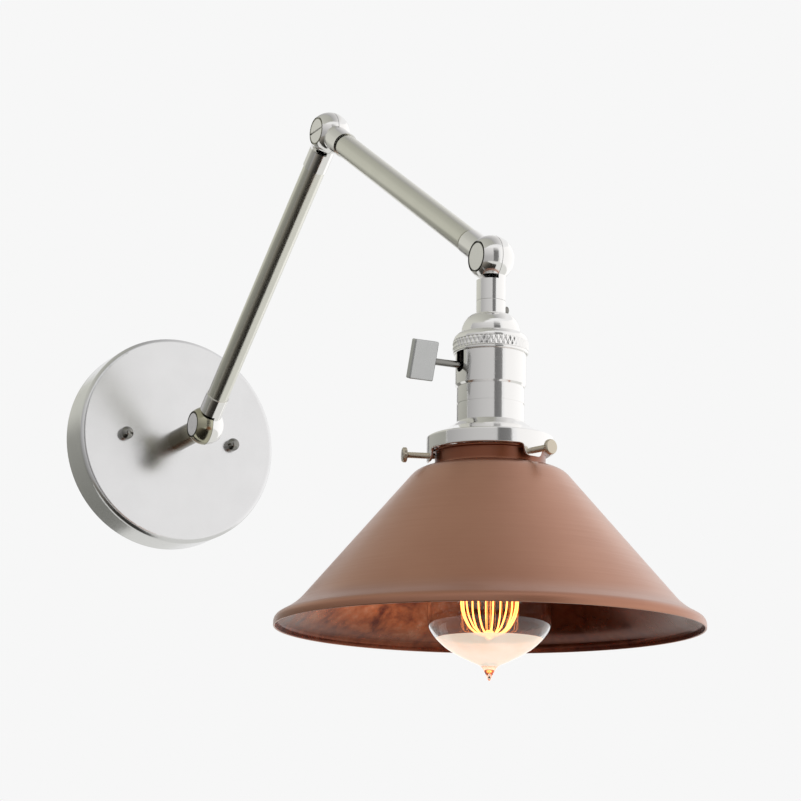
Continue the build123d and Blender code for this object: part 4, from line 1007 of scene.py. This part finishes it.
class LAMP_OT_inner_fittings(bpy.types.Operator):
    """Dress the fittings inside the socket"""
    bl_idname = "lamp.inner_fittings"
    bl_label = "Inner fittings"

    def execute(self, context):
        # Pressed insulating fibre: dull grey-brown with a paper-like grain.
        fibre = dull_solid("insulating_fibre", linear("#5a524a"), 0.8, 1.2, 0.25)
        # Moulded thermoset: near black, with a faint satin skin.
        moulding = dull_solid("black_thermoset", linear("#1b1a19"), 0.45, 0.8, 0.1)
        dress(fibre, "insulating_liner")
        dress(moulding, "socket_block", "switch_cam", "bulb_insulator")
        dress(plain_brass(), "terminal_screws", "screw_shell", "centre_contact")
        dress(zinc_plate(), "head_nipple")
        return {"FINISHED"}


class LAMP_OT_stage(bpy.types.Operator):
    """Set the floor, cards, lights and camera"""
    bl_idname = "lamp.stage"
    bl_label = "Stage"

    def execute(self, context):
        scene = context.scene
        scene.view_settings.view_transform = "Standard"
        self.camera(scene)
        self.world(scene)
        self.floor(scene)
        studio = scene.lamp_studio
        low, grey, warm = (
            np.array(tone)[:3] for tone in (studio.floor_card, studio.grey_card, studio.warm_card))
        self.card("dark_card", self.upright((13.0, 36.0), (CARD_FOOT, CARD_TOP), CARD_REACH), grey,
                  ((0, 0.16), (1, 0.24)), ((0, 1.0), (0.67, 1.0), (1, 4.2)))
        self.card("front_left_card", self.upright((-80.0, 13.0), (CARD_FOOT, CARD_TOP), CARD_REACH), grey,
                  ((0, 0.42), (0.6, 0.62), (1, 0.7)), ((0, 0.75), (0.35, 0.8), (0.55, 1.0), (1, 1.3)))
        self.card("left_card", self.upright((-152.0, -80.0), (CARD_FOOT, CEILING), 1.3), warm,
                  ((0, 1.0),), ((0, 0.18), (0.37, 0.32), (0.51, 0.36), (0.6, 0.66), (1, 0.62)))
        self.card("right_card", self.upright((44.0, 150.0), (CARD_FOOT, CEILING), CARD_REACH), grey,
                  ((0, 1.06), (0.25, 1.1), (0.6, 1.2), (1, 1.25)), ((0, 1.0),))
        self.card("left_ceiling_card", self.level((-1.8, 0.0), (-1.2, 1.6), CEILING), warm,
                  ((0, 0.64), (1, 0.43)), ((0, 0.92), (1, 1.25)))
        self.card("right_ceiling_card", self.level((0.0, 0.9), (-1.2, 1.6), CEILING), grey,
                  ((0, 0.42), (1, 1.0)), ((0, 1.0), (0.6, 1.0), (1, 0.7)))
        self.card("left_floor_card", self.level((-1.7, 0.04), (-1.2, 0.3), CARD_FOOT), low,
                  ((0, 0.36), (0.4, 0.2), (0.66, 0.06), (0.8, 0.03), (1, 0.025)), ((0, 1.0),))
        self.key(scene)
        return {"FINISHED"}

    def camera(self, scene):
        """Camera at the photograph's place, from its yaw, pitch and roll."""
        camera = bpy.data.objects.new("camera", bpy.data.cameras.new("camera"))
        scene.collection.objects.link(camera)
        camera.data.lens = CAMERA_LENS
        camera.data.sensor_width = CAMERA_SENSOR
        yaw, pitch, roll = (math.radians(a) for a in (CAMERA_YAW, CAMERA_PITCH, CAMERA_ROLL))
        ahead = Vector((math.sin(yaw) * math.cos(pitch), math.cos(yaw) * math.cos(pitch), math.sin(pitch)))
        right = Vector((math.cos(yaw), -math.sin(yaw), 0))
        up = right.cross(ahead)
        rolled = right * math.cos(roll) + up * math.sin(roll)
        up = up * math.cos(roll) - right * math.sin(roll)
        turn = Matrix((rolled, up, -ahead)).transposed().to_4x4()
        camera.matrix_world = Matrix.Translation(CAMERA_PLACE) @ turn
        scene.camera = camera

    def world(self, scene):
        """Pale background for the camera, gloss and glass, and a dimmer even light for the rest."""
        world = bpy.data.worlds.new("studio")
        scene.world = world
        world.use_nodes = True
        tree = world.node_tree
        tree.nodes.clear()
        path = add(tree, "ShaderNodeLightPath")
        seen = add(tree, "ShaderNodeMath", {
            0: path.outputs["Is Camera Ray"], 1: path.outputs["Is Glossy Ray"]}, operation="MAXIMUM")
        seen = add(tree, "ShaderNodeMath", {
            0: seen.outputs[0], 1: path.outputs["Is Transmission Ray"]}, operation="MAXIMUM")
        dim = add(tree, "ShaderNodeBackground", {
            "Color": (1, 1, 1, 1), "Strength": scene.lamp_studio.fill})
        pale = add(tree, "ShaderNodeBackground", {
            "Color": tuple(scene.lamp_studio.background), "Strength": 1.0})
        mix = add(tree, "ShaderNodeMixShader", {
            0: seen.outputs[0], 1: dim.outputs[0], 2: pale.outputs[0]})
        add(tree, "ShaderNodeOutputWorld", {"Surface": mix.outputs[0]})

    def floor(self, scene):
        """Level floor well below the lamp: a square grid of points. It is lifted to a pale tone for the
        camera, keeps its shade, and shows its full tone to gloss and glass."""
        material, tree = new_material("pale_floor")
        place = add(tree, "ShaderNodeTexCoord").outputs["Object"]
        speck = add(tree, "ShaderNodeTexNoise", {"Vector": place, "Scale": 1 / (60 * MM), "Detail": 2.0})
        tone = scene.lamp_studio.floor
        tones = add(tree, "ShaderNodeMix", {
            0: speck.outputs[0], 6: deeper(tone, 0.97), 7: tuple(tone)}, data_type="RGBA")
        path = add(tree, "ShaderNodeLightPath")
        lift = add(tree, "ShaderNodeMath", {
            0: path.outputs["Is Camera Ray"], 1: 0.5}, operation="MULTIPLY")
        shader = add(tree, "ShaderNodeBsdfPrincipled", {
            "Base Color": tones.outputs[2], "Roughness": 0.7, "Emission Color": tones.outputs[2],
            "Emission Strength": lift.outputs[0]})
        pale = add(tree, "ShaderNodeEmission", {"Color": tones.outputs[2], "Strength": 1.0})
        mirrored = add(tree, "ShaderNodeMath", {
            0: path.outputs["Is Glossy Ray"], 1: path.outputs["Is Transmission Ray"]}, operation="MAXIMUM")
        both = add(tree, "ShaderNodeMixShader", {
            0: mirrored.outputs[0], 1: shader.outputs[0], 2: pale.outputs[0]})
        add(tree, "ShaderNodeOutputMaterial", {"Surface": both.outputs[0]})
        material.cycles.emission_sampling = "NONE"
        reach = (-FLOOR_REACH, FLOOR_REACH)
        self.sheet("floor", self.level(reach, reach, FLOOR_LEVEL), material)

    def upright(self, bearing, height, reach):
        """Points of an upright sheet that is part of a cylinder round the lamp, from one bearing right of the
        camera to another, in degrees."""
        angle, level = np.meshgrid(
            np.radians(np.linspace(*bearing, 25)), np.linspace(*height, 21), indexing="ij")
        angle = angle - math.radians(CAMERA_YAW)
        return np.stack((MIDDLE.x + reach * np.sin(angle), MIDDLE.y - reach * np.cos(angle), level), -1)

    def level(self, across, ahead, height):
        """Points of a level sheet between two distances across, along X, and two ahead, along Y."""
        x, y = np.meshgrid(np.linspace(*across, 25), np.linspace(*ahead, 25), indexing="ij")
        return np.stack((x, y, np.full_like(x, height)), -1)

    def card(self, name, points, tone, across, along):
        """Card that only gloss shows. Its tone is the given one times two levels, which run evenly between
        the levels at the given shares of the rows and of the columns."""
        material, tree = new_material(name)
        seen = add(tree, "ShaderNodeAttribute", attribute_name="tone")
        glow = add(tree, "ShaderNodeEmission", {"Color": seen.outputs["Color"], "Strength": 1.0})
        add(tree, "ShaderNodeOutputMaterial", {"Surface": glow.outputs[0]})
        material.cycles.emission_sampling = "NONE"
        card = self.sheet(name, points, material)
        row, column = (np.linspace(0, 1, count) for count in points.shape[:2])
        level = np.outer(np.interp(row, *zip(*across)), np.interp(column, *zip(*along)))
        tones = np.concatenate((level[..., None] * tone, np.ones_like(level)[..., None]), -1)
        card.data.attributes.new("tone", "FLOAT_COLOR", "POINT").data.foreach_set("color", tones.ravel())
        card.visible_camera = False
        card.visible_diffuse = False
        card.visible_transmission = False
        card.visible_shadow = False

    def sheet(self, name, points, material):
        """Open stage sheet over a grid of points in metres."""
        rows, columns = points.shape[:2]
        row, column = (part.ravel() for part in np.meshgrid(
            np.arange(rows - 1), np.arange(columns - 1), indexing="ij"))
        first = row * columns + column
        faces = np.stack((first, first + columns, first + columns + 1, first + 1), 1)
        mesh = bpy.data.meshes.new(name)
        mesh.from_pydata(points.reshape(-1, 3).tolist(), [], faces.tolist())
        mesh.materials.append(material)
        made = bpy.data.objects.new(name, mesh)
        bpy.context.scene.collection.objects.link(made)
        return made

    def key(self, scene):
        """Large soft lamp above and to the right of the camera."""
        lamp = bpy.data.objects.new("key", bpy.data.lights.new("key", "AREA"))
        lamp.data.energy = scene.lamp_studio.key
        lamp.data.size = KEY_SIZE
        lamp.visible_glossy = False
        scene.collection.objects.link(lamp)
        lamp.location = KEY_PLACE
        lamp.rotation_mode = "QUATERNION"
        lamp.rotation_quaternion = (lamp.location - MIDDLE).to_track_quat("Z", "Y")


OPERATORS = (
    LAMP_OT_wall_plate, LAMP_OT_arms, LAMP_OT_knuckles, LAMP_OT_socket, LAMP_OT_switch_key,
    LAMP_OT_shade_holder, LAMP_OT_shade, LAMP_OT_bulb, LAMP_OT_filament, LAMP_OT_inner_fittings,
    LAMP_OT_stage)
GROUPS = {"lamp_sizes": LampSizes, "lamp_finishes": LampFinishes, "lamp_studio": LampStudio}


class LAMP_PT_pieces(bpy.types.Panel):
    """Sidebar list of the lamp's sizes, colours and pieces"""
    bl_idname = "LAMP_PT_pieces"
    bl_label = "Wall Lamp"
    bl_space_type = "VIEW_3D"
    bl_region_type = "UI"
    bl_category = "Wall Lamp"

    def draw(self, context):
        for group, kind in GROUPS.items():
            box = self.layout.box()
            for name in kind.__annotations__:
                box.prop(getattr(context.scene, group), name)
        for operator in OPERATORS:
            self.layout.operator(operator.bl_idname)


CLASSES = (*GROUPS.values(), *OPERATORS, LAMP_PT_pieces)


def register():
    """Register the classes and give the scene its three groups of values."""
    for kind in CLASSES:
        bpy.utils.register_class(kind)
    for name, kind in GROUPS.items():
        setattr(bpy.types.Scene, name, bpy.props.PointerProperty(type=kind))


def unregister():
    """Take the groups and the classes away again."""
    for name in GROUPS:
        delattr(bpy.types.Scene, name)
    for kind in reversed(CLASSES):
        bpy.utils.unregister_class(kind)


def main():
    """Build every piece and the stage."""
    register()
    for operator in OPERATORS:
        group, name = operator.bl_idname.split(".")
        getattr(getattr(bpy.ops, group), name)()


if __name__ == "__main__":
    main()
